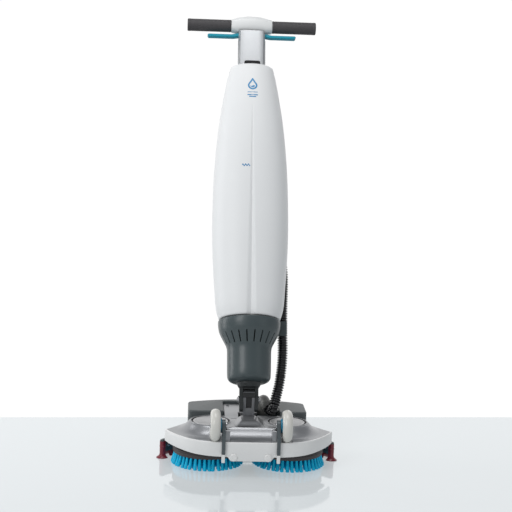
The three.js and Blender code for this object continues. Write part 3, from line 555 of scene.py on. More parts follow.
def soft_min(a, b, blend):
    h = clamp(0.5 + 0.5 * (b - a) / blend)
    return b * (1 - h) + a * h - blend * h * (1 - h)


def cover_height(x, y):
    """Flat round the lids and the middle, falling in a hollow to the rim, with a soft top edge."""
    to_lid = math.hypot(abs(x) - LID["x"], y - LID["y"]) - LID["ring"]
    to_band = math.hypot(max(abs(x) - 82, 0), max(FLAT_FRONT_Y - y, 0))
    outside = soft_min(to_lid, to_band, 7.0)
    soft_edge = 2.6
    outside = max(0.0, (math.hypot(outside, soft_edge) + outside) / 2 - 0.25)
    slope = clamp(1 - outside / COVE) ** 2.2
    return RIM_Z + (TOP_Z - RIM_Z) * slope


def make_cover():
    columns = []
    rows = 72
    for x, y in edge_path(SKIRT_WALL + 0.3, 2.4):
        rear_x = x * (HOOD_X + 2) / (EDGE_HALF[0][0] - SKIRT_WALL)
        column = []
        for j in range(rows + 1):
            t = j / rows
            px, py = x + (rear_x - x) * t, y + (HOOD_FRONT_Y - 0.3 - y) * t
            column.append((px, py, cover_height(px, py)))
        columns.append(column)
    floor = 76.5
    rings = [[deck(*p) for p in column] + [deck(p[0], p[1], floor) for p in reversed(column)] for column in columns]
    shell = raw("deck_cover_moulding", *skin(rings))
    tools = []
    for _, side in SIDES:
        tools.append(turned([(LID["hole"], 60), (LID["hole"], 120)], lambda x, y, z, s=side: deck(s * LID["x"] + x, LID["y"] + y, z), 128))
        well = lambda x, y, z, s=side: deck(s * z, WHEEL["y"] + x, WHEEL["z"] + y)
        tools.append(turned([(41, 71.4), (41, 98.6)], well, 96))
    tools.append(box_of(deck, -24, 24, -35, 70, 60, 120))
    carve(shell, *tools)
    dressed(shell, DECK_SILVER, "deck", "deck_cover", bevel=0.7, smooth=32)
    tongue = []
    for y, z in ((22, 103.2), (34, 104.1), (44, 105.2), (54, 106.4), (66, 107), (150, 107), (153, 106.6), (154.6, 105)):
        across = [(-58, 101), (-58, z - 1.2), (-57.4, z - 0.3), (-56, z), (22, z), (23.4, z - 0.3), (24, z - 1.2), (24, 101)]
        tongue.append([deck(x, y, height) for x, height in across])
    shelf = raw("deck_tongue", *skin(tongue))
    carve(shelf, box_of(deck, -24, 24, -35, 66, 90, 120), box_of(deck, -50, -44, 118, 142, 105, 120))
    dressed(shelf, DECK_SILVER, "deck", bevel=0.6, smooth=30, slot="deck_silver")
    apron = []
    for i in range(13):
        t = i / 12
        side, front = 36 - 19 * t, -56 + 28 * t
        corner = rounded([(-side, 17.4), (-side, front), (side, front), (side, 17.4)], 9, 5)
        apron.append([deck(x, min(y, 17.4), 103.2 + 9.0 * t * t * (3 - 2 * t)) for x, y in corner])
    piece("bearing_apron", *skin(apron), DECK_SILVER, "deck", slot="deck_silver", smooth=50)
    for name, side in SIDES:
        spot = lambda x, y, z, s=side: deck(s * LID["x"] + x, LID["y"] + y, z)
        hole = LID["hole"]
        rim = [(hole + 0.1, 102.5), (hole + 0.1, 104.3), (hole + 0.6, 104.7), (hole + 2.2, 104.7), (hole + 3, 104.3),
               (hole + 3.4, 102.5)]
        piece(f"lid_rim_{name}", *turned(rim, spot, 128, loop=True), DECK_SILVER, "deck", slot="deck_silver")
        edge = LID["r"] - 2.4
        lid = [(0.01, 99.5), (edge, 99.5), *arc((edge, 102.6), 1.4, 0, 90, 4), (edge - 3, 104.1), (edge - 4, 103.6), (0.01, 103.8)]
        piece(f"motor_lid_disc_{name}", *turned(lid, spot, 128), LID_GREY, "deck", f"motor_lid_{name}", smooth=50)
        gasket = [(LID["r"] - 1.5, 97), (LID["r"] - 1.5, 100.4), (hole - 0.2, 100.4), (hole - 0.2, 97)]
        piece(f"lid_gasket_{name}", *turned(gasket, spot, 96, loop=True), BLACK, "deck", slot="dark_plastic")


def skirt_section(station):
    half = abs(station[0])
    lip = clamp((half - 46) / 10)
    lip = lip * lip * (3 - 2 * lip)
    bottom = 37 + 10 * lip if half < 56 else 47 + 7 * ((half - 56) / 145) ** 2
    wall = SKIRT_WALL
    return [
        (-wall, bottom + 0.6), (-wall + 0.6, bottom), (-1.2, bottom), (-0.35, bottom + 0.35), (0, bottom + 1.2),
        (0, SKIRT_TOP - 2.2), (-0.3, SKIRT_TOP - 1.1), (-1.1, SKIRT_TOP - 0.3), (-2, SKIRT_TOP), (-wall, SKIRT_TOP),
    ]


def make_skirt():
    piece("splash_skirt_moulding", *strip(edge_path(0, 2.5), skirt_section), SKIRT_WHITE, "deck", "splash_skirt", bevel=0.3, smooth=50)
    for name, side in SIDES:
        place = lambda x, y, z, s=side: deck(s * 40.6 + x, -126.1 - z, 46 + y)
        dome = [(0.01, 0), (9, 0), (9, 1.2), (8.6, 2.2), (7.6, 2.9), (6.2, 3.2), (5.8, 2.8), (0.01, 3.4)]
        piece(f"skirt_button_dome_{name}", *turned(dome, place, 48), FOOT_WHITE, "deck", f"skirt_button_{name}", smooth=45)


def hood_outline(inset):
    x, front, inner = HOOD_X - inset, HOOD_FRONT_Y + inset, 155 + 0.3 + inset
    rear = [((1 - i / 12) * (x - 6), 181 - inset - 31 * (1 - i / 12) ** 2) for i in range(25)]
    return [
        (x, front + 6), (x, 142), *rear, (-x, 142), (-x, front + 6), (-x + 6, front), (-58.3 - inset, front),
        (-58.3 - inset, inner), (80 + inset, inner), (80 + inset, front), (x - 6, front),
    ]


def make_hood():
    round_top = [(HOOD_TOP - 4 + 4 * math.sin(math.radians(a)), 4 - 4 * math.cos(math.radians(a))) for a in range(0, 91, 15)]
    levels = [(58, 0.0), (66, 0.0), (66.6, 0.7), (67.4, 0.7), (68, 0.0), *round_top]
    rings = [[deck(x, y, z) for x, y in rounded(hood_outline(inset), 6, 3)] for z, inset in levels]
    hood = raw("rear_hood_shell", *skin(rings))
    inner = [[deck(x, y, z) for x, y in rounded(hood_outline(3), 4, 3)] for z in (57, HOOD_TOP - 4)]
    carve(hood, skin(inner))
    dressed(hood, HOOD_GREY, "deck", "rear_hood", bevel=0.0, smooth=35)


make_cover()
make_skirt()
make_hood()
refined("deck_chassis", "deck_chassis_plate", BLACK, "deck", bevel=0.8)
refined("lean_bearing", "lean_bearing_casting", DECK_SILVER, "deck", bevel=1.6)
refined("lean_pin", "lean_pin_bar", STEEL, "deck", bevel=0.8)
for side_name, _ in SIDES:
    refined(f"brush_motor_{side_name}", f"brush_motor_case_{side_name}", BLACK, "deck", bevel=0.8)


# ------------------------------------------------------------------ squeegee
def squeegee_y(x):
    return 155 - 124 * (x / 206) ** 2


SQUEEGEE_END = 209


def squeegee_path(offset, reach, steps):
    made = []
    for i in range(steps + 1):
        x = reach * (2 * i / steps - 1)
        along = Vector((1, -248 * x / 206**2)).normalized()
        made.append((x - along.y * offset, squeegee_y(x) + along.x * offset))
    return made


def blade_path():
    wrap = 4.8
    slope = math.atan2(-248 * SQUEEGEE_END / 206**2, 1)
    turn = [slope + math.pi / 2 - (i + 1) * math.pi / 13 for i in range(13)]
    end = [(SQUEEGEE_END + wrap * math.cos(a), squeegee_y(SQUEEGEE_END) + wrap * math.sin(a)) for a in turn]
    end += [(end[-1][0] - d * math.cos(slope), end[-1][1] - d * math.sin(slope)) for d in (2.5, 5)]
    return [(-x, y) for x, y in reversed(end)] + squeegee_path(wrap, SQUEEGEE_END, 90) + end


def make_squeegee():
    blade = [(1.5, 40.6), (1.1, 41), (-1.1, 41), (-1.5, 40.6), (-1.5, 30), (-2.2, 29.4), (-2.2, 28), (-1.5, 27.4), (-1.5, 11),
             (-2.3, 7.6), (-4.6, 4.4), (-9.6, 0.9), (-9.3, 0), (-6.4, 0), (-2.2, 2.8), (0.4, 6), (1.5, 10.5)]
    piece("squeegee_blade_rear", *strip(blade_path(), lambda s: blade), SQUEEGEE, "deck", "squeegee_blade", smooth=40)
    lip = [(1.5, 13.7), (-1.5, 13.7), (-1.5, 7), (0, 3), (2.6, 0), (5.3, 0), (5.5, 0.5), (3, 3.4), (1.6, 7)]
    piece("squeegee_lip_front", *strip(squeegee_path(-1, SQUEEGEE_END - 16, 80), lambda s: lip), SQUEEGEE, "deck",
          "squeegee_lip", smooth=40)
    refined("squeegee_carrier", "squeegee_carrier_bar", HOUSING_GREY, "deck", bevel=0.8)
    for name, side in SIDES:
        x = side * SQUEEGEE_END
        place = lambda px, py, z, cx=x: deck(cx + px, squeegee_y(SQUEEGEE_END) + py, z)
        cap = [(0.01, 40.9), (5.6, 40.9), (5.9, 41.5), (5.6, 44.0), (4.4, 45.2), (0.01, 45.4)]
        piece(f"squeegee_end_cap_{name}", *turned(cap, place, 40), HOOD_GREY, "deck", slot="housing_grey")


make_squeegee()


# ------------------------------------------------------------------ screws
def screw(name, at, facing, radius, on, material=STEEL):
    """A pan-head screw with a hexagonal socket, its head standing out along facing."""
    turn = Vector(facing).normalized().to_track_quat("Z", "Y").to_matrix()
    place = lambda x, y, z: at + turn @ Vector((x, y, z)) * MM
    depth = radius * 0.62
    head = [(radius, 0), (radius, depth * 0.45), *[(radius * r, depth * h) for r, h in ((0.93, 0.78), (0.78, 0.96), (0.55, 1.0))]]
    rings = [[place(r * math.cos(a), r * math.sin(a), z) for a in (2 * math.pi * i / 24 for i in range(24))] for r, z in head]
    socket = radius * 0.46
    hexed = lambda a: socket * math.cos(math.pi / 6) / math.cos((a + math.pi / 6) % (math.pi / 3) - math.pi / 6)
    for z in (depth, depth * 0.35):
        rings.append([place(hexed(a) * math.cos(a), hexed(a) * math.sin(a), z) for a in (2 * math.pi * i / 24 for i in range(24))])
    return piece(name, *skin(rings), material, on, slot="steel", smooth=35)


def make_screws():
    for name, side in SIDES:
        screw(f"gusset_screw_{name}", deck(side * 55.2, -108, 108.9), (0, 0, 1), 3.8, "deck")
        screw(f"carrier_screw_{name}", deck(side * 194, squeegee_y(194) - 5.5, 30), (-side * 0.62, -0.78, 0), 4.2, "deck")
        screw(f"fork_screw_{name}", body(side * 26.4, 0, 0), (side, 0, 0), 5.0, "upper_body")
        screw(f"console_screw_{name}", body(side * 30, 24.4, 1009), tuple(BODY_BACK), 1.8, "upper_body")
        for k, height in enumerate((40, 52)):
            place = deck(side * 69.1, -112 + 14 * k, 92 + 8 * k)
            screw(f"plate_screw_{name}_{k}", place, (side, 0, 0), 2.6, "deck")


make_screws()


# ------------------------------------------------------------------ brushes
BRISTLE_TOP = 26.5
TUFT_RINGS = ((78.4, 85.0, 45), (69, 73.2, 39), (60, 62.0, 33), (51, 52.0, 28), (42.5, 42.0, 23), (35.5, 34.5, 18))


def make_brush(name, side):
    draw = random.Random(17 + side)
    points, faces = [], []
    center = BRUSH_AXIS[name]
    sides = 10
    for ring, (top_r, tip_r, count) in enumerate(TUFT_RINGS):
        for i in range(count):
            angle = 2 * math.pi * (i + 0.5 * (ring % 2)) / count + draw.uniform(-0.012, 0.012)
            lean = draw.uniform(-0.02, 0.02)
            tip = tip_r + draw.uniform(-0.7, 0.5)
            base = len(points)
            steps = ((BRISTLE_TOP + 0.8, 0.0, 2.6), (20, 0.16, 2.9), (12, 0.45, 3.4), (5, 0.78, 3.9), (1.2, 0.96, 4.15), (0.15, 1.0, 3.5))
            for z, share, radius in steps:
                at = top_r + (tip - top_r) * share
                turn = angle + lean * share
                middle = Vector((at * math.cos(turn), at * math.sin(turn), z))
                for k in range(sides):
                    a = 2 * math.pi * k / sides
                    rough = 1 + (draw.uniform(-0.1, 0.1) if share > 0.5 else 0)
                    out, across = radius * rough * math.cos(a), 1.12 * radius * rough * math.sin(a)
                    x = middle.x + out * math.cos(turn) - across * math.sin(turn)
                    y = middle.y + out * math.sin(turn) + across * math.cos(turn)
                    points.append(Vector((center.x, center.y, 0)) + Vector((x, y, z)) * MM)
            for level in range(len(steps) - 1):
                for k in range(sides):
                    a, b = base + level * sides + k, base + level * sides + (k + 1) % sides
                    faces.append((a, b, b + sides, a + sides))
            faces.append(tuple(base + k for k in reversed(range(sides))))
            faces.append(tuple(base + (len(steps) - 1) * sides + k for k in range(sides)))
    piece(f"brush_tufts_{name}", points, faces, BRISTLE, f"brush_{name}", f"brush_bristles_{name}", smooth=50)
    spot = lambda x, y, z: Vector((center.x, center.y, 0)) + Vector((x, y, z)) * MM
    block = [(0.01, 26.8), (81, 26.8), (83.2, 27.6), (84, 29.2), (84, 36.4), (83.3, 37), (83.3, 37.6), (84, 38.2), (84, 40.4),
             (83, 41.8), (80, 43), (27, 43), (25.4, 43.4), (22.6, 46), (21.6, 46.5), (0.01, 46.5)]
    piece(f"brush_back_{name}", *turned(block, spot, 112), BLOCK_BROWN, f"brush_{name}", f"brush_block_{name}", smooth=35)
    refined(f"brush_shaft_{name}", f"drive_shaft_{name}", STEEL, f"brush_{name}", bevel=0.5)


for side_name, side_sign in SIDES:
    make_brush(side_name, side_sign)


# ------------------------------------------------------------------ transport wheels
def make_wheel(name, side):
    half = WHEEL["w"] / 2
    place = lambda x, y, z: deck(side * (WHEEL["x"] + z), WHEEL["y"] + x, WHEEL["z"] + y)
    crown = [(WHEEL["r"] - 11 + 11 * math.cos(a), half * math.sin(a)) for a in (math.pi * (i / 20 - 0.5) for i in range(21))]
    tyre = [(24.4, -8), (25.2, -9.6), *crown, (25.2, 9.6), (24.4, 8)]
    piece(f"tyre_{name}", *turned(tyre, place, 96, loop=True), TYRE, f"wheel_{name}", f"wheel_tyre_{name}", smooth=50)
    hub = [(5.4, -15.2), (14.8, -15.2), (16.2, -14.8), (17.3, -13.6), (17.6, -9.6), (21.6, -8), (22, -9), (23.6, -9),
           (24.1, -8), (24.1, 8), (23.6, 9), (22, 9), (21.6, 8), (20.4, 7.2), (13, 7.8), (11, 8.4), (9.8, 9.4), (8.8, 10),
           (5.4, 10)]
    piece(f"hub_{name}", *turned(hub, place, 96, loop=True), TEAL_HUB, f"wheel_{name}", f"wheel_hub_{name}", smooth=35)
    for i in range(6):
        angle = math.pi * i / 3
        rib = [(9, -1.4), (21.5, -1.1), (21.5, 1.1), (9, 1.4)]
        turn = lambda x, y: (x * math.cos(angle) - y * math.sin(angle), x * math.sin(angle) + y * math.cos(angle))
        rings = [[place(*turn(x, y), z) for x, y in rib] for z in (6.8, 9.2)]
        piece(f"hub_rib_{name}_{i}", *skin(rings), TEAL_HUB, f"wheel_{name}", bevel=0.5, slot="hub_teal")
    refined(f"wheel_axle_{name}", f"axle_{name}", STEEL, "deck", bevel=0.8)
    refined(f"wheel_plate_{name}", f"wheel_arm_{name}", PLATE_GREY, "deck", bevel=0.9)
    refined(f"slide_foot_{name}", f"slide_shoe_{name}", FOOT_WHITE, "deck", bevel=1.2)
    gusset = [(-120.5, 80), (-118, 86), (-117.5, 106), (-115, 109), (-101, 109), (-97, 105), (-92, 94), (-84, 84)]
    x0, x1 = sorted((side * 50, side * 60.3))
    rings = [[deck(x, y, z) for y, z in rounded(gusset, 1.5, 3)] for x in (x0, x1)]
    piece(f"wheel_gusset_{name}", *skin(rings), DECK_SILVER, "deck", bevel=0.8, slot="deck_silver")


for side_name, side_sign in SIDES:
    make_wheel(side_name, side_sign)


# ------------------------------------------------------------------ joint and motor housing
refined("joint_bracket", "joint_bracket_casting", BRACKET_GREY, "joint_block", bevel=1.2)
for cap_name, spans in (("bracket_cap", (-14.6, 14.6, 17.4, 46.6, 156, 167.5)), ("bracket_liner", (-6.6, 6.6, 22, 26.8, 130.5, 165))):
    piece(cap_name, *box_of(deck, *spans), BLACK, "joint_block", bevel=1.0, slot="dark_plastic")
refined("fork", "fork_casting", FORK_DARK, "upper_body", bevel=1.4)
piece("fork_web", *box_of(body, -14.8, 14.8, -11, 11, 23.9, 30), FORK_DARK, "upper_body", bevel=1.0, slot="housing_grey")
refined("tilt_pin", "tilt_pin_bar", STEEL, "upper_body", bevel=0.8)
refined("vacuum_motor", "vacuum_motor_case", BLACK, "upper_body")
refined("vacuum_fan", "vacuum_fan_wheel", ALUMINIUM, "fan", bevel=0.4)
refined("tank_seat", "tank_seat_ring", BLACK, "upper_body", bevel=1.2)
refined("hose_guard", "hose_guard_clip", HOUSING_GREY, "upper_body", bevel=0.8)

HOUSING_R = 54
RIM_R = 78.5
HOUSING_TOP = 196
VENTS = 22
VENT_SPAN = (134, 160)


def spline_profile(points, step):
    return [(p.x, p.y) for p in smooth_route([(x, y, 0) for x, y in points], step)]


def make_housing():
    """A turned cup with real cooling slots: faces are left out of its wall, which then gets its thickness."""
    bottom = [(4, 41.3), (40, 41.6), (42.8, 42.4), (47.6, 44.7), (50.3, 47.1), (52.4, 50.4), (53.8, 55)]
    wall = [(HOUSING_R + 0.4, 70), (HOUSING_R + 0.9, 118), (55.6, 126)]
    flare = spline_profile([(55.6, 126), (58, 134), (63.6, 145), (70.4, 158), (75, 168), (77.6, 180)], 2.0)[1:]
    rim = [(78.3, 188), *arc((76.3, 194), 2, 0, 90, 4), (73.5, 196)]
    profile = bottom + wall + flare + rim
    per_vent, slot_columns = 12, 2
    count = VENTS * per_vent
    rings = []
    for radius, height in profile:
        ring = []
        for i in range(count):
            within = i % per_vent
            pitch = 2 * math.pi / VENTS
            slot_half = 1.5 / max(radius, 20)
            if within <= slot_columns:
                angle = (within / slot_columns * 2 - 1) * slot_half
            else:
                angle = slot_half + (pitch - 2 * slot_half) * (within - slot_columns) / (per_vent - slot_columns)
            angle += (i // per_vent + 0.5) * pitch
            ring.append(body(radius * math.sin(angle), -radius * math.cos(angle), height))
        rings.append(ring)
    points, faces = skin(rings, caps=False)
    heights = [h for _, h in profile]
    kept = []
    for level in range(len(profile) - 1):
        middle = (heights[level] + heights[level + 1]) / 2
        for i in range(count):
            slot_here = i % per_vent < slot_columns and VENT_SPAN[0] < middle < VENT_SPAN[1]
            if not slot_here:
                kept.append(faces[level * count + i])
    kept.append(tuple(reversed(range(count))))
    shell = piece("motor_housing_cup", points, kept, HOUSING_GREY, "upper_body", "motor_housing", smooth=35)
    wall = shell.modifiers.new("wall", "SOLIDIFY")
    wall.thickness = 3.2 * MM
    wall.offset = -1
    wall.use_even_offset = False
    edge = shell.modifiers.new("edges", "BEVEL")
    edge.width = 0.45 * MM
    edge.segments = 2
    edge.limit_method = "ANGLE"
    edge.angle_limit = math.radians(50)


make_housing()


# ------------------------------------------------------------------ clean-water tank
TANK_SIZES = [
    (200, 77, 73), (225, 84, 77), (290, 90, 80), (400, 96.3, 82.5), (511, 96.6, 82.5), (606, 93.4, 80), (711, 84.7, 73.5),
    (791, 73.8, 65), (840, 65.5, 58), (866, 61, 53), (876, 57.5, 49), (880, 52, 44),
]
TANK_ROUTE = smooth_route(TANK_SIZES, 1.0)
TANK_ARM, TANK_CHANNEL, TANK_CHANNEL_FRONT, TANK_ARM_TOP = 14, 37.3, -22.3, 862
GROOVE_TOP, GROOVE_BOTTOM = 752, 200


def tank_size(w):
    for a, b in zip(TANK_ROUTE, TANK_ROUTE[1:]):
        if b.x >= w:
            t = clamp((w - a.x) / max(1e-9, b.x - a.x))
            return a.y + (b.y - a.y) * t, a.z + (b.z - a.z) * t
    return TANK_ROUTE[-1].y, TANK_ROUTE[-1].z


def groove_depth(u, w):
    """A V-shaped groove down the front that starts as a hairline and widens to the bottom."""
    share = clamp((GROOVE_TOP - w) / (GROOVE_TOP - GROOVE_BOTTOM))
    half = 1.6 + 11.0 * share**1.15
    deep = 0.6 * clamp((GROOVE_TOP + 10 - w) / 20) + 5.6 * share
    rest = clamp(1 - abs(u) / half)
    return deep * (rest * rest * (3 - 2 * rest) * 0.35 + rest * 0.65)


def tank_outline(w, inset=0.0, arms=True):
    half, depth = tank_size(w)
    half, depth = half - inset, depth - inset
    power = 2.3
    angles = [math.radians(a) for a in range(0, 78, 3)]
    outer = [half * math.cos(a) ** (2 / power) for a in angles]
    near = [outer[-1] * x for x in (0.86, 0.72, 0.6, 0.5, 0.41, 0.33, 0.25, 0.18, 0.12, 0.07, 0.03)]
    us = outer + near + [0.0] + [-x for x in reversed(near)] + [-x for x in reversed(outer)]
    front = []
    for u in us:
        flat = (1 - min(1, abs(u) / half) ** power) ** (1 / power)
        front.append((u, -depth * flat + groove_depth(u, w)))
    if w > 840:
        narrow = 0.06 * clamp((w - 846) / 16) ** 2
        front = [(u * (1 - narrow * clamp((v + 24) / 14)), v) for u, v in front]
        half *= 1 - narrow
    arm = TANK_ARM - inset
    side = TANK_CHANNEL + inset
    corner = max(half - 4, side + 1.5)
    back = [(-half + 0.2, 4), (-half + 1.2, arm - 5), (-corner, arm), (-side - 1, arm), (-side, arm - 1), (-side, TANK_CHANNEL_FRONT - inset),
            (side, TANK_CHANNEL_FRONT - inset), (side, arm - 1), (side + 1, arm), (corner, arm), (half - 1.2, arm - 5), (half - 0.2, 4)]
    return [(u, v if arms else min(v, TANK_CHANNEL_FRONT)) for u, v in front + back]


def make_tank():
    heights = [199 + 4 * (1 - math.cos(math.radians(a))) for a in range(0, 91, 18)]
    insets = [3.2 * (1 - math.sin(math.radians(a))) for a in range(0, 91, 18)]
    levels = list(zip(heights, insets))
    w = 206.0
    while w < TANK_ARM_TOP - 5:
        levels.append((w, 0.0))
        w += 6.5
    levels += [(TANK_ARM_TOP - 3, 0.0), (TANK_ARM_TOP, 0.0), (TANK_ARM_TOP + 0.01, 0.0)]
    levels += [(w, 0.0) for w in (864, 867, 869.5, 872, 874, 876, 877.6, 878.8, 879.6)]
    levels += [(880.0, 1.6), (880.2, 4.0)]
    rings = [[body(u, v, w) for u, v in tank_outline(clamp(w, 200, 880), inset, w <= TANK_ARM_TOP)] for w, inset in levels]
    piece("clean_tank_moulding", *skin(rings), TANK_WHITE, "tank", "clean_tank", smooth=40)
    spot = lambda x, y, z: body(-49 + x, -4 + y, z)
    cap = [(0.01, 862.3), (10.5, 862.3), (10.5, 869), (9.8, 870.4), (8.6, 871), (0.01, 871)]
    grip = [[(r * (1 - 0.05 * (i % 4 == 0)), z) for r, z in cap] for i in range(48)]
    rings = []
    for level in range(len(cap)):
        rings.append([spot(grip[i][level][0] * math.cos(math.pi * i / 24), grip[i][level][0] * math.sin(math.pi * i / 24),
                           grip[i][level][1]) for i in range(48)])
    piece("filler_cap_knurled", *skin(rings), HANDLE_WHITE, "cap", "filler_cap", smooth=30)
    refined("tank_latch", "tank_latch_tab", LATCH_BLACK, "latch", bevel=1.6)


def front_of_tank(u, w):
    """The tank's front face at (u, w), without its groove."""
    half, depth = tank_size(w)
    return -depth * (1 - (abs(u) / half) ** 2.3) ** (1 / 2.3)


def on_tank(name, outline, w0, thick, material, hole=None):
    """A thin raised mark on the tank's front face from a flat outline of (u, w) about height w0."""
    loops = [outline] + ([hole] if hole else [])
    rings = []
    for loop, out in ((loops[0], 0.15), (loops[0], -thick)):
        rings.append([body(u, front_of_tank(u, w0 + w) + out, w0 + w) for u, w in loop])
    if hole:
        rings.append([body(u, front_of_tank(u, w0 + w) - thick, w0 + w) for u, w in hole])
        rings.append([body(u, front_of_tank(u, w0 + w) + 0.15, w0 + w) for u, w in hole])
        rings.append(rings[0])
        points, faces = skin(rings, caps=False)
        last = (len(rings) - 1) * len(outline)
        faces = [tuple(i - last if i >= last else i for i in face) for face in faces]
        return piece(name, points[:last], faces, material, "tank", slot="lever_teal", smooth=30)
    return piece(name, *skin(rings), material, "tank", slot="lever_teal", smooth=30)


def drop(size, count=48):
    """A water drop: a circle drawn up to a point."""
    made = []
    for i in range(count):
        angle = 2 * math.pi * i / count
        pull = max(0.0, math.sin(angle)) ** 3
        made.append((size * math.cos(angle) * (1 - 0.55 * pull), size * math.sin(angle) * (1 + 0.75 * pull)))
    return made


def make_emblem():
    at = 810
    on_tank("emblem_drop_ring", drop(12.4), at, 0.35, EMBLEM_BLUE, hole=drop(8.2))
    wave = [(6.0 * math.cos(math.pi + math.pi * i / 20), -1 + 5.2 * math.sin(math.pi + math.pi * i / 20)) for i in range(21)]
    wave += [(6.0 - 12 * i / 10, -1 + 1.2 * math.sin(2 * math.pi * i / 10)) for i in range(1, 10)]
    on_tank("emblem_drop_water", wave, at, 0.35, EMBLEM_BLUE)
    for i, (middle, height, half, thick) in enumerate(((0, -20, 13, 0.9), (0, -28, 13.5, 1.5), (0, -33, 9, 1.5))):
        bar = [(middle + half * (2 * k / 10 - 1), height - thick) for k in range(11)]
        bar += [(middle - half * (2 * k / 10 - 1), height + thick) for k in range(11)]
        on_tank(f"emblem_bar_{i}", bar, at, 0.25, EMBLEM_BLUE)
    ripple = [(-16 + 10 * (k / 10 - 1), 2.2 * math.sin(k * 0.9) - 1.7) for k in range(21)]
    ripple += [(-16 + 10 * (k / 10 - 1), 2.2 * math.sin(k * 0.9) + 1.7) for k in reversed(range(21))]
    on_tank("side_ripple", ripple, 584, 0.25, EMBLEM_BLUE)


make_tank()
make_emblem()


# ------------------------------------------------------------------ spine, recovery tank and battery
SPINE = {"x": 35, "y": 20, "bottom": 197, "top": 986.6}


def make_spine():
    x, y = SPINE["x"], SPINE["y"]
    quarter = [(x, 0), (x, 5), (x - 1.6, 5.6), (x - 1.6, 8.4), (x, 9), (x, y - 5), (x - 1.5, y - 1.5), (x - 5, y), (0, y)]
    crown = [(x * math.sin(t * math.pi / 22) ** 0.5, -9 - (y - 9) * math.cos(t * math.pi / 22) ** 0.5) for t in range(11)]
    right = crown + [(x, -9), (x, -5)] + quarter
    outline = right + [(-a, b) for a, b in reversed(right[1:-1])]
    rings = [[body(u, v, w) for u, v in outline] for w in (SPINE["bottom"], SPINE["top"])]
    column = raw("spine_extrusion", *skin(rings))
    carve(column, box_of(body, -x + 2.4, x - 2.4, -y + 2.4, y - 2.4, 190, 990), box_of(body, -40, -25, -8.4, 8.4, 962, 990),
          box_of(body, 25, 40, -8.4, 8.4, 962, 990))
    dressed(column, ALUMINIUM, "upper_body", "spine_column", bevel=0.5, smooth=35)
    for name, side in SIDES:
        edge = [(side * 35.05, -11), (side * 35.9, -10), (side * 35.9, -1), (side * 35.05, 0)]
        rings = [[body(u, v, w) for u, v in edge] for w in (884, 961)]
        piece(f"spine_trim_{name}", *skin(rings), BLACK, "upper_body", bevel=0.2, slot="dark_plastic")


RECOVERY = [(428, 74, 86), (436, 84, 94), (500, 87, 98), (600, 86, 98), (700, 79, 92), (780, 69, 83), (830, 62, 76), (862, 57, 70)]


def rear_outline(half, depth, inset=0.0, steps=48):
    power = 2 / 2.6
    front = SPINE["y"] + 0.8 + inset
    made = []
    for i in range(steps + 1):
        angle = math.pi * i / steps
        c, s = math.cos(angle), math.sin(angle)
        made.append(((half - inset) * math.copysign(abs(c) ** power, c), 34 + (depth - 34 - inset) * max(0, s) ** power))
    return made + [(-half + inset, front + 3), (-half + inset + 3, front), (half - inset - 3, front), (half - inset, front + 3)]


def make_recovery():
    route = smooth_route(RECOVERY[1:], 8.0)
    levels = [(428, 76, 88), (429.2, 80, 91), (432, 82.8, 93.4)] + [(p.x, p.y, p.z) for p in route]
    rings = []
    for w, half, depth in levels:
        rib = 0.9 if 470 < w < 820 and int(w / 8) % 9 == 0 else 0.0
        rings.append([body(u, v, w) for u, v in rear_outline(half, depth, rib)])
    piece("recovery_tank_moulding", *skin(rings), HOOD_GREY, "upper_body", "recovery_tank", bevel=0.6, smooth=40)
    socket = [(13.2, 412), (16.6, 412), (17, 413), (17, 418), (16.2, 418.6), (16.2, 429), (13.2, 429)]
    place = lambda x, y, z: body(78 + x, 43 + y, z)
    piece("hose_socket", *turned(socket, place, 48, loop=True), BLACK, "upper_body", slot="dark_plastic", smooth=35)
    lid = [(862.3, 58, 71), (868, 58, 71), (870, 57.6, 70.6), (872, 56, 69), (873.4, 53, 66), (874, 49, 62)]
    rings = [[body(u, v, w) for u, v in rear_outline(half, depth)] for w, half, depth in lid]
    piece("recovery_lid_cover", *skin(rings), BLACK, "lid", "recovery_lid", bevel=0.4, smooth=40)
    handle = [[body(u, v, w) for u, v in rounded([(-18, 56), (18, 56), (18, 64), (-18, 64)], 3)] for w in (873.6, 878)]
    piece("recovery_lid_tab", *skin(handle), BLACK, "lid", bevel=1.0, slot="dark_plastic")
    window = []
    for w in (560, 700):
        half, depth = 86, 98.3 if w < 600 else 92.6
        window.append([body(u, v, w) for u, v in ((-7, depth + 0.4), (7, depth + 0.4), (7, depth - 4), (-7, depth - 4))])
    piece("level_window", *skin(window), GLASS_DARK, "upper_body", bevel=0.6, slot="dark_plastic")


def make_battery():
    levels = [(198, 3), (199.2, 1.2), (202, 0), (214, 0), (215, 1), (218, 1), (219, 0), (385, 0), (386, 1), (389, 1), (390, 0),
              (393, 0.6), (396, 3)]
    rings = [[body(u, v, w) for u, v in rear_outline(66, 88, inset)] for w, inset in levels]
    pack = raw("battery_case", *skin(rings))
    slot = [[body(u, v, w) for u, w in rounded([(-30, 340), (30, 340), (30, 366), (-30, 366)], 7)] for v in (70, 96)]
    ribs = [box_of(body, -40, 40, 86.2, 96, 240 + 14 * i, 246 + 14 * i) for i in range(6)]
    carve(pack, skin(slot), *ribs)
    dressed(pack, BLACK, "battery", "battery_pack", bevel=0.6, smooth=35)
    bar = [[body(u, v, w) for v, w in rounded([(79, 352), (85, 352), (85, 361), (79, 361)], 2)] for u in (-29.5, 29.5)]
    piece("battery_pull_bar", *skin(bar), TEAL_LEVER, "battery", bevel=0.8, slot="lever_teal")
    for i in range(4):
        x = -12 + 8 * i
        lamp = lambda px, py, z, cx=x: body(cx + px, 87 + z, 378 + py)
        piece(f"charge_lamp_{i}", *turned([(1.9, 0), (1.9, 1.1), (1.3, 1.5), (0.01, 1.6)], lamp, 20), LAMP, "battery", slot="lever_teal")


make_spine()
make_recovery()
make_battery()


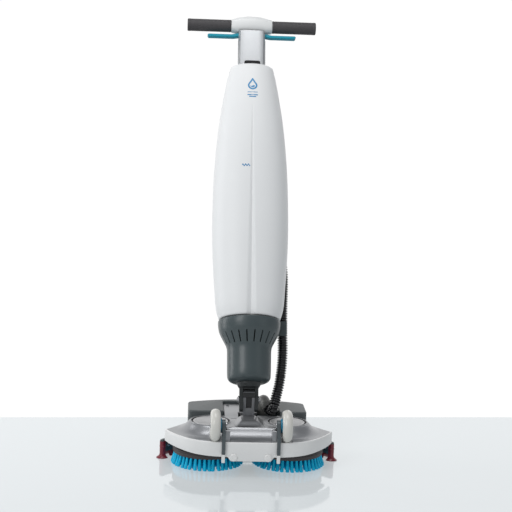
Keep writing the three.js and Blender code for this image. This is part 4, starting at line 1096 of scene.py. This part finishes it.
# ------------------------------------------------------------------ handle
BAR_W = 1006
COVER_X = 54.5
GRIP_R = 16.5


def cover_section(x, count=40):
    arch = 1 - (x / COVER_X) ** 2
    bottom, top, depth = 990 - 3 * min(1, 2 * arch), 1022.5 + 9 * arch, 16.5 + 6 * arch
    middle = (top + bottom) / 2
    made = []
    for i in range(count):
        angle = 2 * math.pi * i / count
        c, s = math.cos(angle), math.sin(angle)
        made.append((depth * math.copysign(abs(c) ** 0.7, c), middle + (top - middle) * math.copysign(abs(s) ** 0.7, s)))
    return made


def make_handle():
    rings = []
    for x, shrink in [(-COVER_X, 0.94), (-COVER_X + 0.7, 0.98), (-COVER_X + 1.6, 1.0)] + [
        (t * 3.3, 1.0) for t in range(-16, 17)
    ] + [(COVER_X - 1.6, 1.0), (COVER_X - 0.7, 0.98), (COVER_X, 0.94)]:
        rings.append([body(x, v * shrink, BAR_W + (w - BAR_W) * shrink) for v, w in cover_section(x)])
    cover = raw("handle_cover_moulding", *skin(rings))
    carve(cover, box_of(body, -34, 34, 20.3, 40, 994, 1024))
    dressed(cover, HANDLE_WHITE, "upper_body", "handle_cover", bevel=0.4, smooth=40)
    refined("handle_bar", "handle_bar_tube", ALUMINIUM, "upper_body", bevel=0.8)
    refined("console_panel", "console_panel_plate", BLACK, "upper_body", bevel=0.8)
    screen = [[body(u, v, w) for u, w in rounded([(-8, 1003), (8, 1003), (8, 1016), (-8, 1016)], 2)] for v in (24.2, 25.1)]
    piece("console_display", *skin(screen), GLASS_DARK, "upper_body", bevel=0.3, slot="dark_plastic")
    for i in range(5):
        spot = lambda px, py, z, cx=-8 + 4 * i: body(cx + px, 24.4 + z, 998.5 + py)
        piece(f"console_lamp_{i}", *turned([(1.1, 0), (1.1, 0.5), (0.7, 0.8), (0.01, 0.9)], spot, 16), LAMP, "upper_body", slot="lever_teal")
    for name, x, on in (("power_button", -18, "power"), ("boost_button", 18, "boost")):
        spot = lambda px, py, z, cx=x: body(cx + px, 23.3 + z, 1009 + py)
        shape = [(0.01, 0), (6, 0), (6, 3.4), (5.6, 4.1), (4.6, 4.5), (3.6, 4.2), (0.01, 4.0)]
        piece(f"{name}_cap", *turned(shape, spot, 40), TEAL_LEVER, on, name, smooth=40)
    for name, side in SIDES:
        make_grip(name, side)
        refined(f"trigger_{name}", f"trigger_lever_{name}", TEAL_LEVER, f"lever_{name}", bevel=1.8)


def make_grip(name, side):
    """A soft grip with fine rings moulded round it, a collar at each end and a closed outer end."""
    place = lambda x, y, z: body(side * (COVER_X + 0.3 + z), x, BAR_W + y)
    outer = [(12.4, 0), (15.2, 0), (16.1, 0.6), (GRIP_R, 1.6), (GRIP_R, 5), (16.0, 5.8)]
    run = 7.0
    while run < 106:
        outer += [(16.15, run), (16.32, run + 0.5), (16.32, run + 1.3), (16.15, run + 1.8)]
        run += 2.3
    outer += [(16.1, 108), (GRIP_R, 109), (GRIP_R, 113.6), (16.1, 115.2), (14.6, 116.2), (0.01, 116.4)]
    rings = [(12.4, 113.0), (12.4, 0.4)]
    piece(f"grip_sleeve_{name}", *turned([(0.01, 113.5), *rings, *outer], place, 72), GRIP, "upper_body", f"grip_{name}", smooth=30)


make_handle()


# ------------------------------------------------------------------ stage and light
HORIZON = 417 / 512            # how far down the picture the floor's far edge runs, dead level


def ground_at(across, down):
    """The floor point seen at a place in the square picture, each from 0 to 1."""
    camera = bpy.context.scene.camera
    reach = camera.data.lens / camera.data.sensor_width
    ray = camera.matrix_world.to_3x3() @ Vector((across - 0.5, 0.5 - down, -reach))
    return camera.location + ray * (-camera.location.z / ray.z)


def emission(name, color, strength):
    mat = bpy.data.materials.new(name)
    mat.use_nodes = True
    nodes = mat.node_tree.nodes
    nodes.remove(nodes["Principled BSDF"])
    glow = add_node(mat, "ShaderNodeEmission", Color=(*color, 1), Strength=strength)
    mat.node_tree.links.new(glow.outputs[0], nodes["Material Output"].inputs["Surface"])
    return mat


def stage_plane(name, corners, material):
    mesh = bpy.data.meshes.new(name)
    mesh.from_pydata([tuple(c) for c in corners], [], [(0, 1, 2, 3)])
    obj = bpy.data.objects.new(name, mesh)
    mesh.materials.append(material)
    bpy.context.scene.collection.objects.link(obj)


def area_light(name, at, aim, size, power, color=(1, 1, 1)):
    data = bpy.data.lights.new(name, "AREA")
    data.shape = "RECTANGLE"
    data.size, data.size_y = size
    data.energy = power
    data.color = color
    lamp = bpy.data.objects.new(name, data)
    lamp.location = at
    lamp.rotation_mode = "QUATERNION"
    lamp.rotation_quaternion = (Vector(aim) - Vector(at)).to_track_quat("-Z", "Y")
    bpy.context.scene.collection.objects.link(lamp)


def make_stage():
    floor = finish_of("floor_pale", (0.3, 0.31, 0.32), 0.06, mottle=0.006, mottle_scale=2, grain=60, bump=0.0, rough_spread=0.02,
                      specular=0.6)
    shader = floor.node_tree.nodes["Principled BSDF"]
    shader.inputs["Emission Color"].default_value = (0.86, 0.92, 0.94, 1)
    shader.inputs["Emission Strength"].default_value = 0.42
    left, right = ground_at(0, HORIZON), ground_at(1, HORIZON)
    far = [left.lerp(right, t) for t in (-6, 7)]
    stage_plane("floor", [(-7, -8, -0.0005), (7, -8, -0.0005), (far[1].x, far[1].y, -0.0005), (far[0].x, far[0].y, -0.0005)], floor)
    stage_plane("backdrop", [(-9, 8, -5), (9, 8, -5), (9, 8, 9), (-9, 8, 9)], emission("backdrop_white", (1, 1, 1), 1.02))
    world = bpy.data.worlds.new("studio")
    world.use_nodes = True
    world.node_tree.nodes["Background"].inputs["Color"].default_value = (0.95, 0.97, 1.0, 1)
    world.node_tree.nodes["Background"].inputs["Strength"].default_value = 0.4
    bpy.context.scene.world = world
    middle = Vector((0, 0, 0.55))
    area_light("key", (-2.4, -2.6, 2.3), middle, (1.6, 2.2), 46)
    area_light("top", (-0.15, -0.35, 2.6), Vector((0, -0.1, 0.1)), (1.3, 0.8), 15)
    area_light("fill", (2.6, -2.2, 1.2), middle, (1.4, 1.8), 3)
    area_light("side", (-2.2, 0.6, 0.9), middle, (0.7, 2.2), 14)
    bpy.context.scene.view_settings.view_transform = "Standard"


make_stage()
